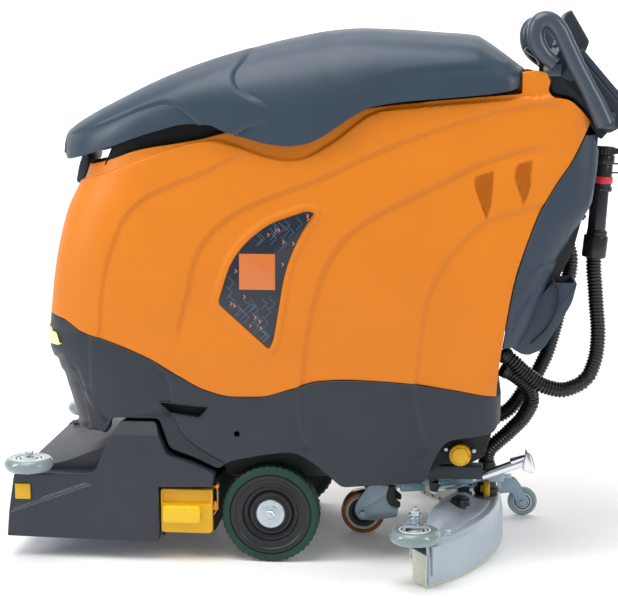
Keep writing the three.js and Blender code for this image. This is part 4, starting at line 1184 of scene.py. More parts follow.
def make_controls():
    head = merged(on_slope_rod("stop", 15, 5, 14, 4), on_slope_rod("stop", 8, -3, 8))
    piece("stop_button", head, "stop_button", red, ["emergency_stop"])
    piece("stop_collar", on_slope_rod("stop", 18, 0, 4), "chassis", yellow)
    x, share = CONTROLS["key"]
    bow = rod(on_slope(x, share - 0.1, 14), on_slope(x, share + 0.1, 14), 5, 2)
    key = merged(on_slope_rod("key", 14, 0.4, 10, 2), bow)
    piece("key", key, "key", black_plastic, ["key_switch"])
    x, share = CONTROLS["dial"]
    ribs = [rod(np.add(on_slope(x, share, 2), (21.5 * math.cos(a), 21.5 * math.sin(a) * 0.65,
                -21.5 * math.sin(a) * 0.76)),
                np.add(on_slope(x, share, 16), (20 * math.cos(a), 20 * math.sin(a) * 0.65,
                       -20 * math.sin(a) * 0.76)), 1.6) for a in np.linspace(0, 2 * math.pi, 18, False)]
    dial = merged(on_slope_rod("dial", 21, 0.4, 20, 4), *ribs)
    piece("dial", dial, "dial", black_plastic, ["speed_dial"])
    piece("mode_button", on_slope_rod("mode", 13, -4, 6, 3), "mode", yellow, ["mode_button"])


LOOP = [(655, 892), (640, 925), (622, 960), (600, 1000), (580, 1040), (564, 1072), (546, 1091),
        (527, 1091), (518, 1073), (521, 1048), (535, 1026), (556, 1008)]


def make_handles():
    curve = curve_through(LOOP, 110)
    share = np.linspace(0, 1, 110)
    radii = 17 + 2.2 * ease((0.22 - share) / 0.12) - 3.0 * ease((share - 0.86) / 0.12)
    for name, side in SIDES:
        path = [(side * 224, y, z) for y, z in curve]
        near, far = span(side, 205, 224)
        foot = box(near, far, 638, 674, 884, 916, 4)
        toe = box(near, far, 544, 568, 984, 1010, 4)
        strap = disc(18.2, *span(side, 206, 224), "x", (0, 640, 925), 4, 32)
        piece("loop_" + name, merged(sweep(path, radii, 32), foot, toe, strap), "chassis",
              handle_grey, ["loop_handle_" + name], 45)
        lever = slab([(509, 1037, 2), (514, 1044, 2), (551, 1030, 4), (549, 1007, 3), (543, 1004, 3),
                      (536, 1018, 6)], *span(side, 118, 200), "x", 2.5)
        piece("lever_" + name, lever, "lever_" + name, slate, ["drive_lever_" + name])
        edge = merged(box(*span(side, 120, 199), 548, 550.6, 1009, 1028, 0.8),
                      box(*span(side, 198, 201), 516, 546, 1026, 1028.5, 0.8))
        piece("lever_edge_" + name, edge, "lever_" + name, zinc)


def make_drain():
    x = 60
    tube = merged(rod((x, 664, 800), (x, 655, 655), 18.5, 1, 40),
                  rod((x, 656, 660), (x, 651.5, 614), 25, 3, 40),
                  rod((x, 658.5, 672), (x, 656, 658), 21, 2, 40),
                  rod((x, 663, 757), (x, 666, 806), 20.5, 2, 40),
                  rod((x, 662, 752), (x, 663.5, 762), 23, 2, 40),
                  rod((x, 666, 806), (x, 667, 824), 23, 2, 40),
                  box(x - 10, x + 10, 628, 652, 778, 802, 3),
                  box(x - 8, x + 8, 640, 648, 700, 716, 2))
    piece("drain_tube", tube, "chassis", hose_black, ["drain_tube"], 40)
    piece("drain_band", rod((x, 664.2, 767), (x, 665, 781), 22.4, 1.5, 40), "chassis", band_red)
    turns = np.linspace(0, 2 * math.pi, 40, endpoint=False)
    teeth = [rod((x + 22 * math.cos(a), 667 + 22 * math.sin(a), 826),
                 (x + 22 * math.cos(a), 668 + 22 * math.sin(a), 839), 1.5, 0.5, 8) for a in turns[::2]]
    cap = merged(rod((x, 667, 824.4), (x, 668, 842), 22, 3, 40), box(54, 66, 686, 702, 826, 838, 3), *teeth)
    piece("drain_cap_skin", cap, "drain_lid", black_plastic, ["drain_cap"])
    loops = []
    for reach, top, low in ((40, 834, 806), (52, 828, 788)):
        line = [(688, top), (688 + reach * 0.5, top - 2), (688 + reach * 0.7, (top + low) / 2),
                (688 + reach * 0.45, low + 2), (684, low)]
        loops.append(sweep([(x, min(y, 736), z) for y, z in curve_through(line, 40)], 1.8, 10))
    piece("drain_strap", merged(*loops), "chassis", black_plastic)
    cuffs = []
    for route_name, (diameter, points) in ROUTES.items():
        for end, before in ((points[0], points[1]), (points[-1], points[-2])):
            end, before = np.array(end, float), np.array(before, float)
            along = (before - end) / np.linalg.norm(before - end)
            if route_name == "hose_drain" and end[2] > 600:
                continue
            cuffs.append(rod(end - along * 10, end + along * 5, diameter / 2 + 1.2, 2, 36))
    piece("hose_cuffs", merged(*cuffs), "chassis", black_plastic)


make_console()
make_console_gap_shade()
make_display()
make_controls()
make_handles()
make_drain()


# ---- drive wheels, transaxle and caster ----------------------------------------------------------
def spun(shape, axis, angle, place=(0, 0, 0)):
    """The same shape turned by an angle about an axis through a place."""
    turn = np.array(Matrix.Rotation(angle, 3, axis.upper()))
    place = np.array(place, float)
    return (shape[0] - place) @ turn.T + place, shape[1]


def lug(x0, x1, radius, wide, tall):
    """A tread lug on top of a tyre: a block that narrows outwards."""
    foot, crown = wide / 2, wide / 2 - 0.8
    stack = []
    for x, drop in ((x0, 1.6), (x0 + 1.5, 0), (x1 - 1.5, 0), (x1, 1.6)):
        stack.append([(x, -foot, radius - tall), (x, foot, radius - tall), (x, crown, radius - drop),
                      (x, -crown, radius - drop)])
    return rings(stack)


WHEEL_PLACE = (0, 0, 100)
LUGS = 46                               # tread lugs in each of a tyre's two rows


def make_wheel(name, side):
    place = WHEEL_PLACE
    profile = [(83.8, 194), (94, 192, 2), (98.7, 196, 3), (98.7, 237, 4), (93, 240, 4), (83.8, 238.5)]
    profile = [(r, side * x) + tuple(rest) for r, x, *rest in profile]
    shapes = [turned(profile, "x", place, 96)]
    for k in range(LUGS):
        for half, shift in ((0, 0), (1, 0.5)):
            x0, x1 = (195, 215) if half == 0 else (217, 237.6)
            x0, x1 = span(side, x0, x1)
            block = moved(lug(x0, x1, 99.9, 6.4, 3.6), place)
            shapes.append(spun(block, "x", 2 * math.pi * (k + shift) / LUGS, place))
    piece("tyre_" + name + "_skin", merged(*shapes), "wheel_" + name, tyre_green, ["tyre_" + name], 28)
    face = [(20, 198), (83.6, 198), (83.6, 236.5, 2), (80, 238, 1.5), (74, 238, 3), (70, 233.5, 3),
            (64, 233.5, 2), (61, 235.5, 2), (58, 235.5, 2), (56, 226, 3), (48, 223, 3), (45, 226, 2),
            (42, 229, 2), (38, 229, 2), (34, 226, 2), (29, 226, 1), (27, 232, 1), (20, 232)]
    face = [(r, side * x) + tuple(rest) for r, x, *rest in face]
    piece("rim_" + name + "_skin", turned(face, "x", place, 96), "wheel_" + name, rim_black,
          ["rim_" + name], 30)
    low, high = span(side, 226, 234.5)
    washer = turned([(0, low), (29, low), (29, high, 1.6), (0, high)] if side > 0 else
                    [(0, low), (29, low, 1.6), (29, high), (0, high)], "x", place, 64)
    step_low, step_high = span(side, 234.5, 237)
    step = disc(18, step_low, step_high, "x", place, 1, 48)
    bolt = hex_bolt((side * 238, 0, 100), "x", 10, 7, side)
    nub = disc(4.5, *span(side, 240, 247), "x", place, 1, 24)
    dots = [disc(2.2, *span(side, 234.5, 236), "x",
                 (0, 23.5 * math.cos(a), 100 + 23.5 * math.sin(a)), 0.4, 12)
            for a in np.linspace(0.4, 2 * math.pi + 0.4, 3, False)]
    piece("hub_" + name, merged(washer, step, bolt, nub, *dots), "wheel_" + name, zinc)


def make_transaxle():
    place = WHEEL_PLACE
    parts = [disc(44, -58, 58, "x", place, 6, 64), disc(12, -191, 191, "x", place, 1, 32)]
    for _, side in SIDES:
        parts.append(disc(33, *span(side, 56, 176), "x", place, 3, 56))
        parts += [disc(36, side * x - 2.2, side * x + 2.2, "x", place, 0.8, 56) for x in range(66, 172, 9)]
        parts.append(box(side * 90 - 10, side * 90 + 10, -30, 30, 100, 159.6, 3))
        parts.append(hex_bolt((side * 176, 22, 112), "x", 6, 5, side))
        parts.append(hex_bolt((side * 176, -22, 90), "x", 6, 5, side))
    piece("transaxle", merged(*parts), "chassis", zinc, ["drive_transaxle"])


def make_caster():
    axle = (0, 176, 48)
    cheek = [(190, 114, 8), (161, 72, 10), (157, 50, 14), (172, 34, 12), (198, 33, 10), (250, 42, 6),
             (252, 60, 5), (238, 64, 8), (230, 80, 8), (240, 102, 6), (258, 108, 3), (258, 116, 3)]
    parts = [slab(cheek, 24, 29, "x", 1.5), slab(cheek, -29, -24, "x", 1.5),
             box(-29, 29, 216, 262, 109, 116, 2), disc(30, 112, 128, "z", (0, 244, 0), 3, 48),
             disc(25, 127, 157.6, "z", (0, 244, 0), 2, 48), disc(6, -34, 34, "x", axle, 1, 24)]
    parts += [hex_bolt((side * 29.6, 176, 48), "x", 9, 7, side) for _, side in SIDES]
    piece("caster_fork_skin", merged(*parts), "caster_swivel", steel, ["caster_fork"])
    tread = [(37, -20), (44, -20, 4), (47.9, -13, 6), (47.9, 13, 6), (44, 20, 4), (37, 20)]
    piece("caster_tread", turned(tread, "x", axle, 80), "caster_roller", amber, ["caster_wheel"], 30)
    ring = [(32, -19.4), (37, -19.4, 0.8), (37, 19.4, 0.8), (32, 19.4)]
    piece("caster_ring", turned(ring, "x", axle, 80), "caster_roller", cream)
    core = [(0, -15), (20, -15, 2), (24, -11, 2), (32, -12), (32, 12), (24, 11, 2), (20, 15, 2), (0, 15)]
    piece("caster_core", turned(core, "x", axle, 64), "caster_roller", black_plastic)
    pads = both(slab([(232, 112, 4), (226, 84, 8), (234, 68, 8), (256, 64, 4), (258, 76, 6), (244, 86, 8),
                      (246, 112, 4)], 29.5, 36, "x", 2))
    piece("caster_pads", pads, "caster_swivel", arm_black)


for name, side in SIDES:
    make_wheel(name, side)
make_transaxle()
make_caster()


# ---- brush deck --------------------------------------------------------------------------------
COVER = [(-544, 46, 4), (-230, 40, 4), (-226, 70), (-227, 156), (-116, 159, 5), (-113, 186, 6),
         (-160, 207, 20), (-210, 222, 12), (-226, 262, 12), (-234, 289, 8), (-306, 289, 8),
         (-318, 268, 10), (-336, 236, 20), (-360, 182, 12), (-527, 178, 6), (-539, 101)]
DECK_PIN = (275, -489)                  # the front roller's pin, in X and Y
BUTTON = [(-525, 125, 2), (-493, 125, 2), (-493, 157, 2), (-525, 157, 2)]


def make_cover(name, side):
    cover = as_object("cover", slab(COVER, *span(side, 217.4, 255), "x", 2.2, 4))
    bevel = [(262, 255.8), (292, 238), (300, 238), (300, 275), (262, 275)]
    bevel = [(z, side * x) for z, x in bevel]
    front = [(-349, 175), (-419, 30), (-600, 30), (-600, 175)]
    cutters = [slab(bevel, -322, -212, "y", 0.1), slab(front, *span(side, 253.9, 262), "x", 0.1)]
    window = [(-526.5, 123.5), (-491.5, 123.5), (-491.5, 158.5), (-526.5, 158.5)]
    cutters.append(slab(window, *span(side, 246, 262), "x", 0.1))
    piece("cover_skin_" + name, cut(cover, *cutters), "cover_" + name, deck_slate,
          ["deck_cover_" + name], 16)
    # Thin pale lines on the cover: painted highlights on its groove edges.
    lines = []
    for start, end in (((-530, 103), (-372, 160)), ((-536, 96), (-366, 157.5)), ((-470, 128), (-378, 161))):
        (y0, z0), (y1, z1) = start, end
        stripe = [(y0, z0), (y1, z1), (y1, z1 + 1), (y0, z0 + 1)]
        lines.append(slab(stripe, *span(side, 253.5, 254.5), "x", 0.2))
    piece("cover_highlight_lines_" + name, merged(*lines), "cover_" + name, deck_highlight_line)
    button = slab(BUTTON, *span(side, 247, 257), "x", 1.5)
    piece("button_" + name, button, "cover_button_" + name, yellow, ["deck_button_" + name])
    screw = disc(4.5, 211, 215, "z", (side * 240, -203, 4), 1.5, 24)
    piece("cover_screw_" + name, screw, "cover_" + name, polished)


def make_deck():
    shell = as_object("deck", slab([(-540, 60, 3), (-528, 176, 8), (-430, 196, 30), (-336, 234, 16),
                                    (-318, 266, 8), (-306, 284, 6), (-236, 284, 6), (-228, 200, 4),
                                    (-228, 60)], -216.6, 216.6, "x", 2.5))
    hollow = slab([(-533, 20), (-522, 168, 8), (-430, 176, 30), (-340, 180, 10), (-240, 176, 10),
                   (-240, 20)], -211.6, 211.6, "x", 0.1)
    motor_bay = box(-150, 90, -304, -238, 168, 300, 0.1)
    cut(shell, hollow, motor_bay)
    piece("deck_shell", shell, "deck", deck_slate, ["deck_housing"], 16)
    inner = merged(slab([(-404, 150), (-395, 150), (-392, 180), (-407, 180)], -214, 214),
                   box(-214, 214, -230, -114, 160, 168), box(-214, 214, -116, -110, 100, 168),
                   both(box(196, 216, -228, -222, 44, 158)), box(-205, 205, -228, -118, 54, 60))
    piece("deck_inner", inner, "deck", inner_black)
    parts = []
    for _, side in SIDES:
        parts.append(slab([(side * 187, -510, 6), (side * 262, -505, 12), (side * 287, -489, 10),
                           (side * 262, -473, 12), (side * 187, -465, 6)], 181, 187, "z", 2))
        low = [(-505, 176, 10), (-430, 184, 30), (-362, 196, 30), (-345, 214, 10), (-352, 180, 4),
               (-505, 170, 4)]
        parts.append(slab(low, *span(side, 180, 215), "x", 4))
        ledge = [(-500, 178, 10), (-420, 192, 30), (-352, 222, 20), (-346, 200), (-500, 172)]
        parts.append(slab(ledge, *span(side, 150, 182), "x", 5))
    piece("deck_ledges", merged(*parts), "deck", deck_slate, (), 40)
    pins = []
    for _, side in SIDES:
        x, y = side * DECK_PIN[0], DECK_PIN[1]
        pins += [disc(6.5, 186, 224, "z", (x, y, 0), 1, 32), hex_bolt((x, y, 224), "z", 9, 6, 1)]
    piece("deck_pins", merged(*pins), "deck", zinc)


def make_brush(name, y, body):
    half = 208
    core = disc(24, -half, half, "x", (0, y, 92), 2, 40)
    tufts = []
    rows, around = 34, 22
    for r in range(rows):
        x = -half + 6 + (2 * half - 12) * r / (rows - 1)
        for a in range(around):
            turn = 2 * math.pi * (a + 0.5 * (r % 2)) / around + 0.07 * r
            tuft = rings([[(x - w, -w, z), (x + w, -w, z), (x + w, w, z), (x - w, w, z)]
                          for w, z in ((2.4, 22), (5.2, 53.6))])
            tufts.append(moved(spun(tuft, "x", turn), (0, y, 92)))
    piece("brush_" + name, merged(core, *tufts), body, brush_blue, ["brush_" + name], 30)


def make_brush_motor():
    place = (0, -271, 232)
    parts = [disc(30, -140, 58, "x", place, 4, 56), box(58, 86, -300, -242, 200, 264, 4)]
    parts += [disc(32, x - 1.5, x + 1.5, "x", place, 0.6, 56) for x in range(-128, 50, 8)]
    parts += [hex_bolt((86.5, y, z), "x", 4, 3, 1) for y in (-292, -250) for z in (208, 256)]
    piece("brush_motor_skin", merged(*parts), "deck", zinc, ["brush_motor"])


def make_hopper():
    shape = [(-224, 60, 8), (-117, 60, 10), (-117, 152, 6), (-224, 152, 6)]
    tray = as_object("hopper", slab(shape, -206, 250, "x", 3.5, 4))
    scoop = [(-240, 86), (-218, 86, 4), (-210, 66, 4), (-123, 66, 6), (-123, 170), (-240, 170)]
    recess = [(-221, 122, 4), (-121, 122, 4), (-121, 160), (-221, 160)]
    cut(tray, slab(scoop, -200, 216, "x", 0.1), slab(recess, 241, 260, "x", 0.1))
    piece("hopper_tray", tray, "hopper", yellow, ["debris_hopper"], 16)
    # The grip's lighter yellow is a painted highlight.
    grip = slab([(-218, 84, 8), (-141, 84, 8), (-139, 119, 8), (-218, 119, 8)], 244, 264, "x", 4, 5)
    piece("hopper_grip", merged(grip), "hopper", lit_yellow, (), 16)
    # A darker yellow strip along the top of the recess: painted shade.
    shade_strip = slab([(-221, 148, 2), (-121, 148, 2), (-121, 151.5, 2), (-221, 151.5, 2)], 236, 249, "x", 1)
    piece("hopper_shade_strip", shade_strip, "hopper", shade_yellow)
    piece("hopper_back", box(-196, 243, -117.6, -115.6, 66, 148, 0.6), "hopper", inner_black)


def make_latch():
    path = [(239, -108, 160), (239, -107.5, 140), (239, -108, 120), (239, -111, 106), (239, -116, 98)]
    strip = flat_bar(curve_through(path, 24), 12, 2.4, (0, 1, 0))
    parts = merged(strip, disc(4, 231, 247, "x", (0, -108, 158), 1, 24),
                   slab([(-118, 108, 3), (-106, 108, 3), (-106, 122, 3), (-114, 128, 3)], 240, 244, "x", 1))
    piece("latch_strip", parts, "latch", copper, ["hopper_latch"])


for name, side in SIDES:
    make_cover(name, side)
make_deck()
make_brush("front", -458, "brush_a")
make_brush("rear", -341, "brush_b")
make_brush_motor()
make_hopper()
make_latch()


# ---- rollers -------------------------------------------------------------------------------------
POST = (381, 298)                       # the squeegee's roller post, in X and Y
BUMPER_RADIUS, BUMPER_HALF = 50, 13.5
TEETH = 20                              # in a roller's toothed ring


def roller(name, body, axis, place, radius, half, stands_for, hub_share=0.62):
    """A clear tread round a hub with a toothed ring and a bright centre."""
    hub = radius * hub_share
    tread = [(hub, -half * 0.86), (radius * 0.86, -half, radius * 0.1), (radius, -half * 0.3, half * 0.5),
             (radius, half * 0.3, half * 0.5), (radius * 0.86, half, radius * 0.1), (hub, half * 0.86)]
    piece(name + "_tread", turned(tread, axis, place, 80, 6), body, clear_grey, stands_for, 30)
    inner = hub - 0.05
    dark = [(0, -half * 0.6), (inner, -half * 0.6), (inner, half * 0.6), (0, half * 0.6)]
    piece(name + "_dark", turned(dark, axis, place, 64), body, inner_black)
    parts = [turned([(hub * 0.9, -half * 0.9), (hub, -half * 0.9, 0.6), (hub, half * 0.9, 0.6),
                     (hub * 0.9, half * 0.9)], axis, place, 64),
             disc(hub * 0.5, -half * 0.95, half * 0.95, axis, place, 1.5, 40)]
    for k in range(TEETH):
        a = 2 * math.pi * k / TEETH
        r = hub * 0.7
        if axis == "z":
            spot = np.array((place[0] + r * math.cos(a), place[1] + r * math.sin(a), place[2]))
        else:
            spot = np.array((place[0], place[1] + r * math.cos(a), place[2] + r * math.sin(a)))
        low, high = -half * 0.82, half * 0.82
        shift = np.array((0, 0, 1.0)) if axis == "z" else np.array((1.0, 0, 0))
        parts.append(rod(spot + shift * low, spot + shift * high, hub * 0.085, 0.5, 10))
    piece(name + "_hub", merged(*parts), body, white_ring)
    bright = merged(disc(hub * 0.3, -half - 1.5, half + 1.5, axis, place, 1.5, 32))
    piece(name + "_centre", bright, body, polished)


for name, side in SIDES:
    roller("front_bumper_" + name, "bumper_front_" + name, "z", (side * DECK_PIN[0], DECK_PIN[1], 205),
           BUMPER_RADIUS, BUMPER_HALF,
           ["front_roller_" + name])
    roller("rear_bumper_" + name, "bumper_rear_" + name, "z", (side * POST[0], POST[1], 106.5),
           BUMPER_RADIUS, BUMPER_HALF,
           ["squeegee_roller_" + name])
roller("tail_roller", "tail_roller", "x", (-165, 524, 33), 33, 10, ["tail_wheel"])


# ---- squeegee ------------------------------------------------------------------------------------
ARC, ARC_CENTRE = 569, 472 - 569
ARC_HALF = math.asin(385 / ARC)


def arc_bar(section, half_angle, count=90):
    """A (radius, z) section carried round the squeegee's arc, with flat ends."""
    section = turn_anticlockwise(rounded(section))
    stack = []
    for angle in np.linspace(half_angle, -half_angle, count):
        stack.append([(r * math.sin(angle), ARC_CENTRE + r * math.cos(angle), z) for r, z in section])
    return rings(stack)


def arc_spot(radius, angle, z):
    return np.array((radius * math.sin(angle), ARC_CENTRE + radius * math.cos(angle), z))


def squeegee_sheet(side):
    """The formed sheet on one side, from its beaded front edge up to the channel."""
    front = curve_through([(338, 322, 96), (300, 322, 112), (240, 328, 116), (180, 340, 114),
                           (120, 356, 112), (66, 378, 110)], 50)
    angles = np.linspace(ARC_HALF - 0.07, 0.11, 50)
    rear = np.array([arc_spot(548, a, 93) for a in angles])
    swell = 7                           # how far the sheet bulges along its way
    steps = []
    for t in np.linspace(0, 1, 14):
        row = front * (1 - t) + rear * t
        row[:, 2] += swell * math.sin(2 * math.pi * t) * (1 - t)
        steps.append(row * (side, 1, 1))
    sheet = np.array(steps)
    return [skin(sheet if side < 0 else sheet[::-1], 2.5, 1), sweep(front * (side, 1, 1), 2.6, 12)]


def roller_bracket(side):
    """The plate, post and folded bracket that carry a rear roller."""
    plate = slab([(side * 318, 284, 6), (side * 392, 284, 10), (side * 392, 312, 10),
                  (side * 318, 316, 6)], 86, 91, "z", 1.5)
    return [plate, disc(7, 88, 150, "z", (side * POST[0], POST[1], 0), 1, 32),
            box(*span(side, 366, 396), 280, 316, 124, 128, 1.5),
            box(*span(side, 352, 358), 284, 312, 88, 126, 1.5),
            box(*span(side, 353, 396), 276, 281, 100, 127, 1.5)]


def make_squeegee():
    channel = [(516, 90, 3), (564, 90, 5), (564, 26, 1), (560.5, 26, 1), (560.5, 85, 3), (519.5, 85, 3),
               (519.5, 50, 1), (516, 50, 1)]
    strap = [(569.4, 9, 1), (574, 9, 1), (573, 60, 10), (569, 84, 5), (563, 92, 2), (562, 88),
             (567, 68, 4)]
    parts = [arc_bar(channel, ARC_HALF - 0.012), arc_bar(strap, ARC_HALF - 0.006)]
    wing = [(-340, 326, 6), (-200, 340, 30), (-70, 374, 30), (70, 374, 30), (200, 340, 30), (340, 326, 6),
            (345, 352, 8), (200, 412, 60), (0, 445, 60), (-200, 412, 60), (-345, 352, 8)]
    parts.append(slab(wing, 88.5, 92.5, "z", 1.6))
    for _, side in SIDES:
        parts += squeegee_sheet(side) + roller_bracket(side)
        clamp = arc_spot(575, side * (ARC_HALF - 0.03), 0)
        face = box(-9, 9, -2, 3, 26, 86, 2.4)
        parts.append(moved(spun(face, "z", -side * (ARC_HALF - 0.03)), clamp))
        parts.append(hex_bolt(arc_spot(556, side * 0.6, 93), "z", 6.5, 7, 1))
    parts.append(slab([(-180, 424, 6), (-150, 424, 6), (-148, 500, 10), (-182, 500, 10)], 87, 92, "z", 1.5))
    parts.append(box(-184, -146, 470, 476, 62, 92, 2))
    body = as_object("squeegee", merged(*parts))
    piece("squeegee_channel", body, "squeegee", squeegee_grey, ["squeegee_body"], 40)


def make_squeegee_bolts():
    bolts = []
    for _, side in SIDES:
        x, y = side * POST[0], POST[1]
        helix = [(x + 9 * math.cos(t), y + 9 * math.sin(t), 129 + t * 1.05)
                 for t in np.linspace(0, 6 * math.pi, 90)]
        bolts += [sweep(helix, 1.5, 8), hex_bolt((x, y, 150), "z", 9, 7, 1),
                  disc(5, 150, 163, "z", (x, y, 0), 1, 24), disc(11, 121, 124, "z", (x, y, 0), 1, 32)]
        bolts.append(disc(6, 90, 105, "z", (side * 150, 386, 0), 0.5, 24))
    piece("squeegee_bolts", merged(*bolts), "squeegee", zinc)


NOTCHES = 23                            # in the front blade's lower edge


def make_blades():
    """The plain rear blade, the notched front one and the flaps that close their two ends."""
    rear = [(564.4, 0, 0.6), (568.4, 0, 0.6), (568.4, 66, 1), (564.4, 66, 1)]
    piece("rear_blade", arc_bar(rear, ARC_HALF), "squeegee", blade_cream, ["blade_rear"])
    front = [(511.5, 0, 0.6), (515.6, 0, 0.6), (515.6, 70, 1), (511.5, 70, 1)]
    flaps = []
    centre = (0, ARC_CENTRE, 0)
    for _, side in SIDES:
        flap = moved(slab([(528, 6, 1), (568, 0, 1), (565, 64, 4), (522, 72, 4)], -2, 2, "x", 0.8), centre)
        flaps.append(spun(flap, "z", -side * (ARC_HALF - 0.012), centre))
    piece("end_flaps", merged(*flaps), "squeegee", blade_cream)
    notched = as_object("front_blade", arc_bar(front, ARC_HALF - 0.04))
    notch = box(-5, 5, -8, 8, -4, 8, 0.1)
    spots = np.linspace(-ARC_HALF + 0.07, ARC_HALF - 0.07, NOTCHES)
    cut(notched, *[moved(spun(notch, "z", -a), arc_spot(513.5, a, 0)) for a in spots])
    piece("front_blade", notched, "squeegee", blade_cream, ["blade_front"])


def make_nozzle():
    nozzle = [(0, 70), (24, 70), (24, 96, 2), (28, 98, 2), (28, 106, 2), (22, 110, 3),
              (20, 158, 1), (0, 158)]
    piece("nozzle", turned(nozzle, "z", (0, 440, 0), 56), "squeegee", black_plastic, ["suction_nozzle"])


def star(outer, inner, lobes, per_lobe=10):
    """A round outline with lobes, for knobs."""
    angles = np.linspace(0, 2 * math.pi, lobes * per_lobe, endpoint=False)
    radii = inner + (outer - inner) * (0.5 + 0.5 * np.cos(angles * lobes)) ** 0.6
    return list(np.stack([radii * np.cos(angles), radii * np.sin(angles)], axis=1))


def make_knobs():
    for name, side in SIDES:
        place = (side * 150, 386, 0)
        head = slab(star(21, 16.5, 6), 106, 121, "z", 3, 4)
        parts = merged(moved(head, place), disc(12, 90.5, 107, "z", place, 1, 36),
                       disc(13, 120, 125, "z", place, 2, 36))
        piece("star_" + name, parts, "knob_" + name, black_plastic, ["star_knob_" + name])
    rim = [(y + 383, z + 228) for y, z in star(22.4, 20.8, 28, per_lobe=6)]
    knob = merged(slab(rim, 205, 224, "x", 2), disc(16, 223, 227, "x", (0, 383, 228), 1.5, 40),
                  disc(14, 201, 206, "x", (0, 383, 228), 0.5, 32))
    piece("filter_knob", knob, "filter_knob", yellow, ["side_knob"])
    screws = [disc(4.5, 200, 206, "x", (0, y, z), 1.5, 24) for y, z in ((355, 236), (411, 234))]
    piece("filter_screws", merged(*screws), "chassis", zinc)
    small = [disc(17, 434, 447, "y", (42, 0, 113), 5, 36), disc(7, 428, 436, "y", (42, 0, 113), 1, 24)]
    piece("blade_knob", merged(*small), "squeegee", yellow)
    piece("pivot_knob", disc(11, 76, 88, "x", (0, 417, 165), 3, 36), "squeegee_carrier", yellow)


def make_arm():
    rail = [(240, 124, 8), (238, 148, 8), (262, 152, 8), (300, 142, 10), (412, 147, 2), (412, 125, 2),
            (300, 124, 10)]
    parts = [slab(rail, 64, 74, "x", 1.8), slab(rail, -74, -64, "x", 1.8),
             box(-74, 74, 392, 412, 125, 147, 2.5),
             slab([(-40, 404, 4), (40, 404, 4), (36, 478, 14), (-36, 478, 14)], 126, 146, "z", 2.5),
             disc(9, -82, 82, "x", (0, 262, 135), 1.5, 32)]
    arm = as_object("arm", merged(*parts))
    bore = disc(24.5, 100, 170, "z", (0, 440, 0), 0.1, 40)
    holes = both(box(60, 80, 246, 258, 130, 142, 0.1))
    piece("arm_rails", cut(arm, bore, holes), "squeegee_carrier", steel, ["squeegee_arm"])
    plate = slab([(20, 292, 8), (62, 286, 14), (64, 368, 16), (24, 380, 8)], 146, 151, "z", 1.5)
    bar = slab([(258, 120, 8), (260, 142, 8), (300, 141, 6), (312, 134, 4), (312, 124, 4)],
               106, 113, "x", 2)
    eye = box(113, 114, 268, 279, 126, 137, 0.3)
    bridge = slab([(318, 142, 6), (345, 152, 10), (410, 158, 6), (412, 140, 4), (350, 134, 6)],
                  98, 109, "x", 2)
    extras = [plate, bar, eye, bridge]
    extras += [hex_bolt((50, y, 151), "z", 6, 5, 1) for y in (300, 356)]
    extras += [hex_bolt((side * 82, 262, 135), "x", 9, 6, side) for _, side in SIDES]
    piece("arm_plate", merged(*extras), "squeegee_carrier", link_blue)
    block = merged(box(10, 42, 380, 404, 100, 126, 3), box(14, 38, 386, 410, 96, 101, 2))
    piece("arm_block", block, "squeegee_carrier", arm_black)


def make_lift_lever():
    path = curve_through([(93, 330, 124), (93, 350, 128), (93, 388, 138), (93, 438, 157),
                          (93, 486, 176), (93, 522, 190)], 60)
    bar = flat_bar(path, np.linspace(15, 22, 60), np.linspace(13, 21, 60), (0, 0, 1))
    end = slab([(512, 176, 4), (534, 168, 4), (540, 178, 3), (530, 212, 4), (518, 214, 4)], 60, 126, "x", 3)
    lip = slab([(490, 186, 2), (528, 203, 2), (530, 208, 2), (486, 191, 2)], 72, 114, "x", 1.2)
    pin = disc(9, 82, 104, "x", (0, 330, 124), 1.5, 32)
    piece("lift_bar", merged(bar, end, lip, pin), "lever_lift", polished, ["lift_lever"], 40)


def make_tail():
    arm = [(468, 50, 6), (468, 76, 8), (486, 90, 12), (508, 84, 12), (538, 40, 8), (532, 22, 8),
           (514, 24, 8), (502, 54, 12), (484, 54, 8)]
    parts = [slab(arm, -152.8, -149.5, "x", 1.2), slab(arm, -180.5, -177.2, "x", 1.2),
             box(-180, -150, 474, 500, 70, 86, 3), disc(9, 60, 94, "z", (-165, 488, 0), 2, 32),
             disc(6, -184, -146, "x", (0, 524, 33), 1.5, 24)]
    piece("tail_fork_skin", merged(*parts), "tail_swivel", steel, ["tail_fork"])


make_squeegee()
make_squeegee_bolts()
make_blades()
make_nozzle()
make_knobs()
make_arm()
make_lift_lever()
make_tail()


# ---- frame and the parts inside --------------------------------------------------------------------
def make_frame():
    parts = [both(box(110, 150, -104, 430, 160, 188, 3)), box(-120, 120, 205, 284, 160, 170, 2),
             box(-120, 120, -104, -74, 160, 188, 2), box(-120, 120, -40, 40, 160, 172, 2),
             box(-120, 120, 310, 340, 168, 188, 2),
             slab([(321, 121, 8), (339, 121, 8), (341, 164), (319, 164)], 104.6, 109, "x", 1.5)]
    # The frame's dark grey is painted shade for the wheel arches.
    piece("frame_rails", merged(*parts), "chassis", frame_painted_shade, ["chassis_frame"])
    bolts = [hex_bolt((side * 130, y, 160), "z", 8, 6, -1)
             for _, side in SIDES for y in (-90, 20, 214, 290)]
    piece("frame_bolts", merged(*bolts), "chassis", zinc)


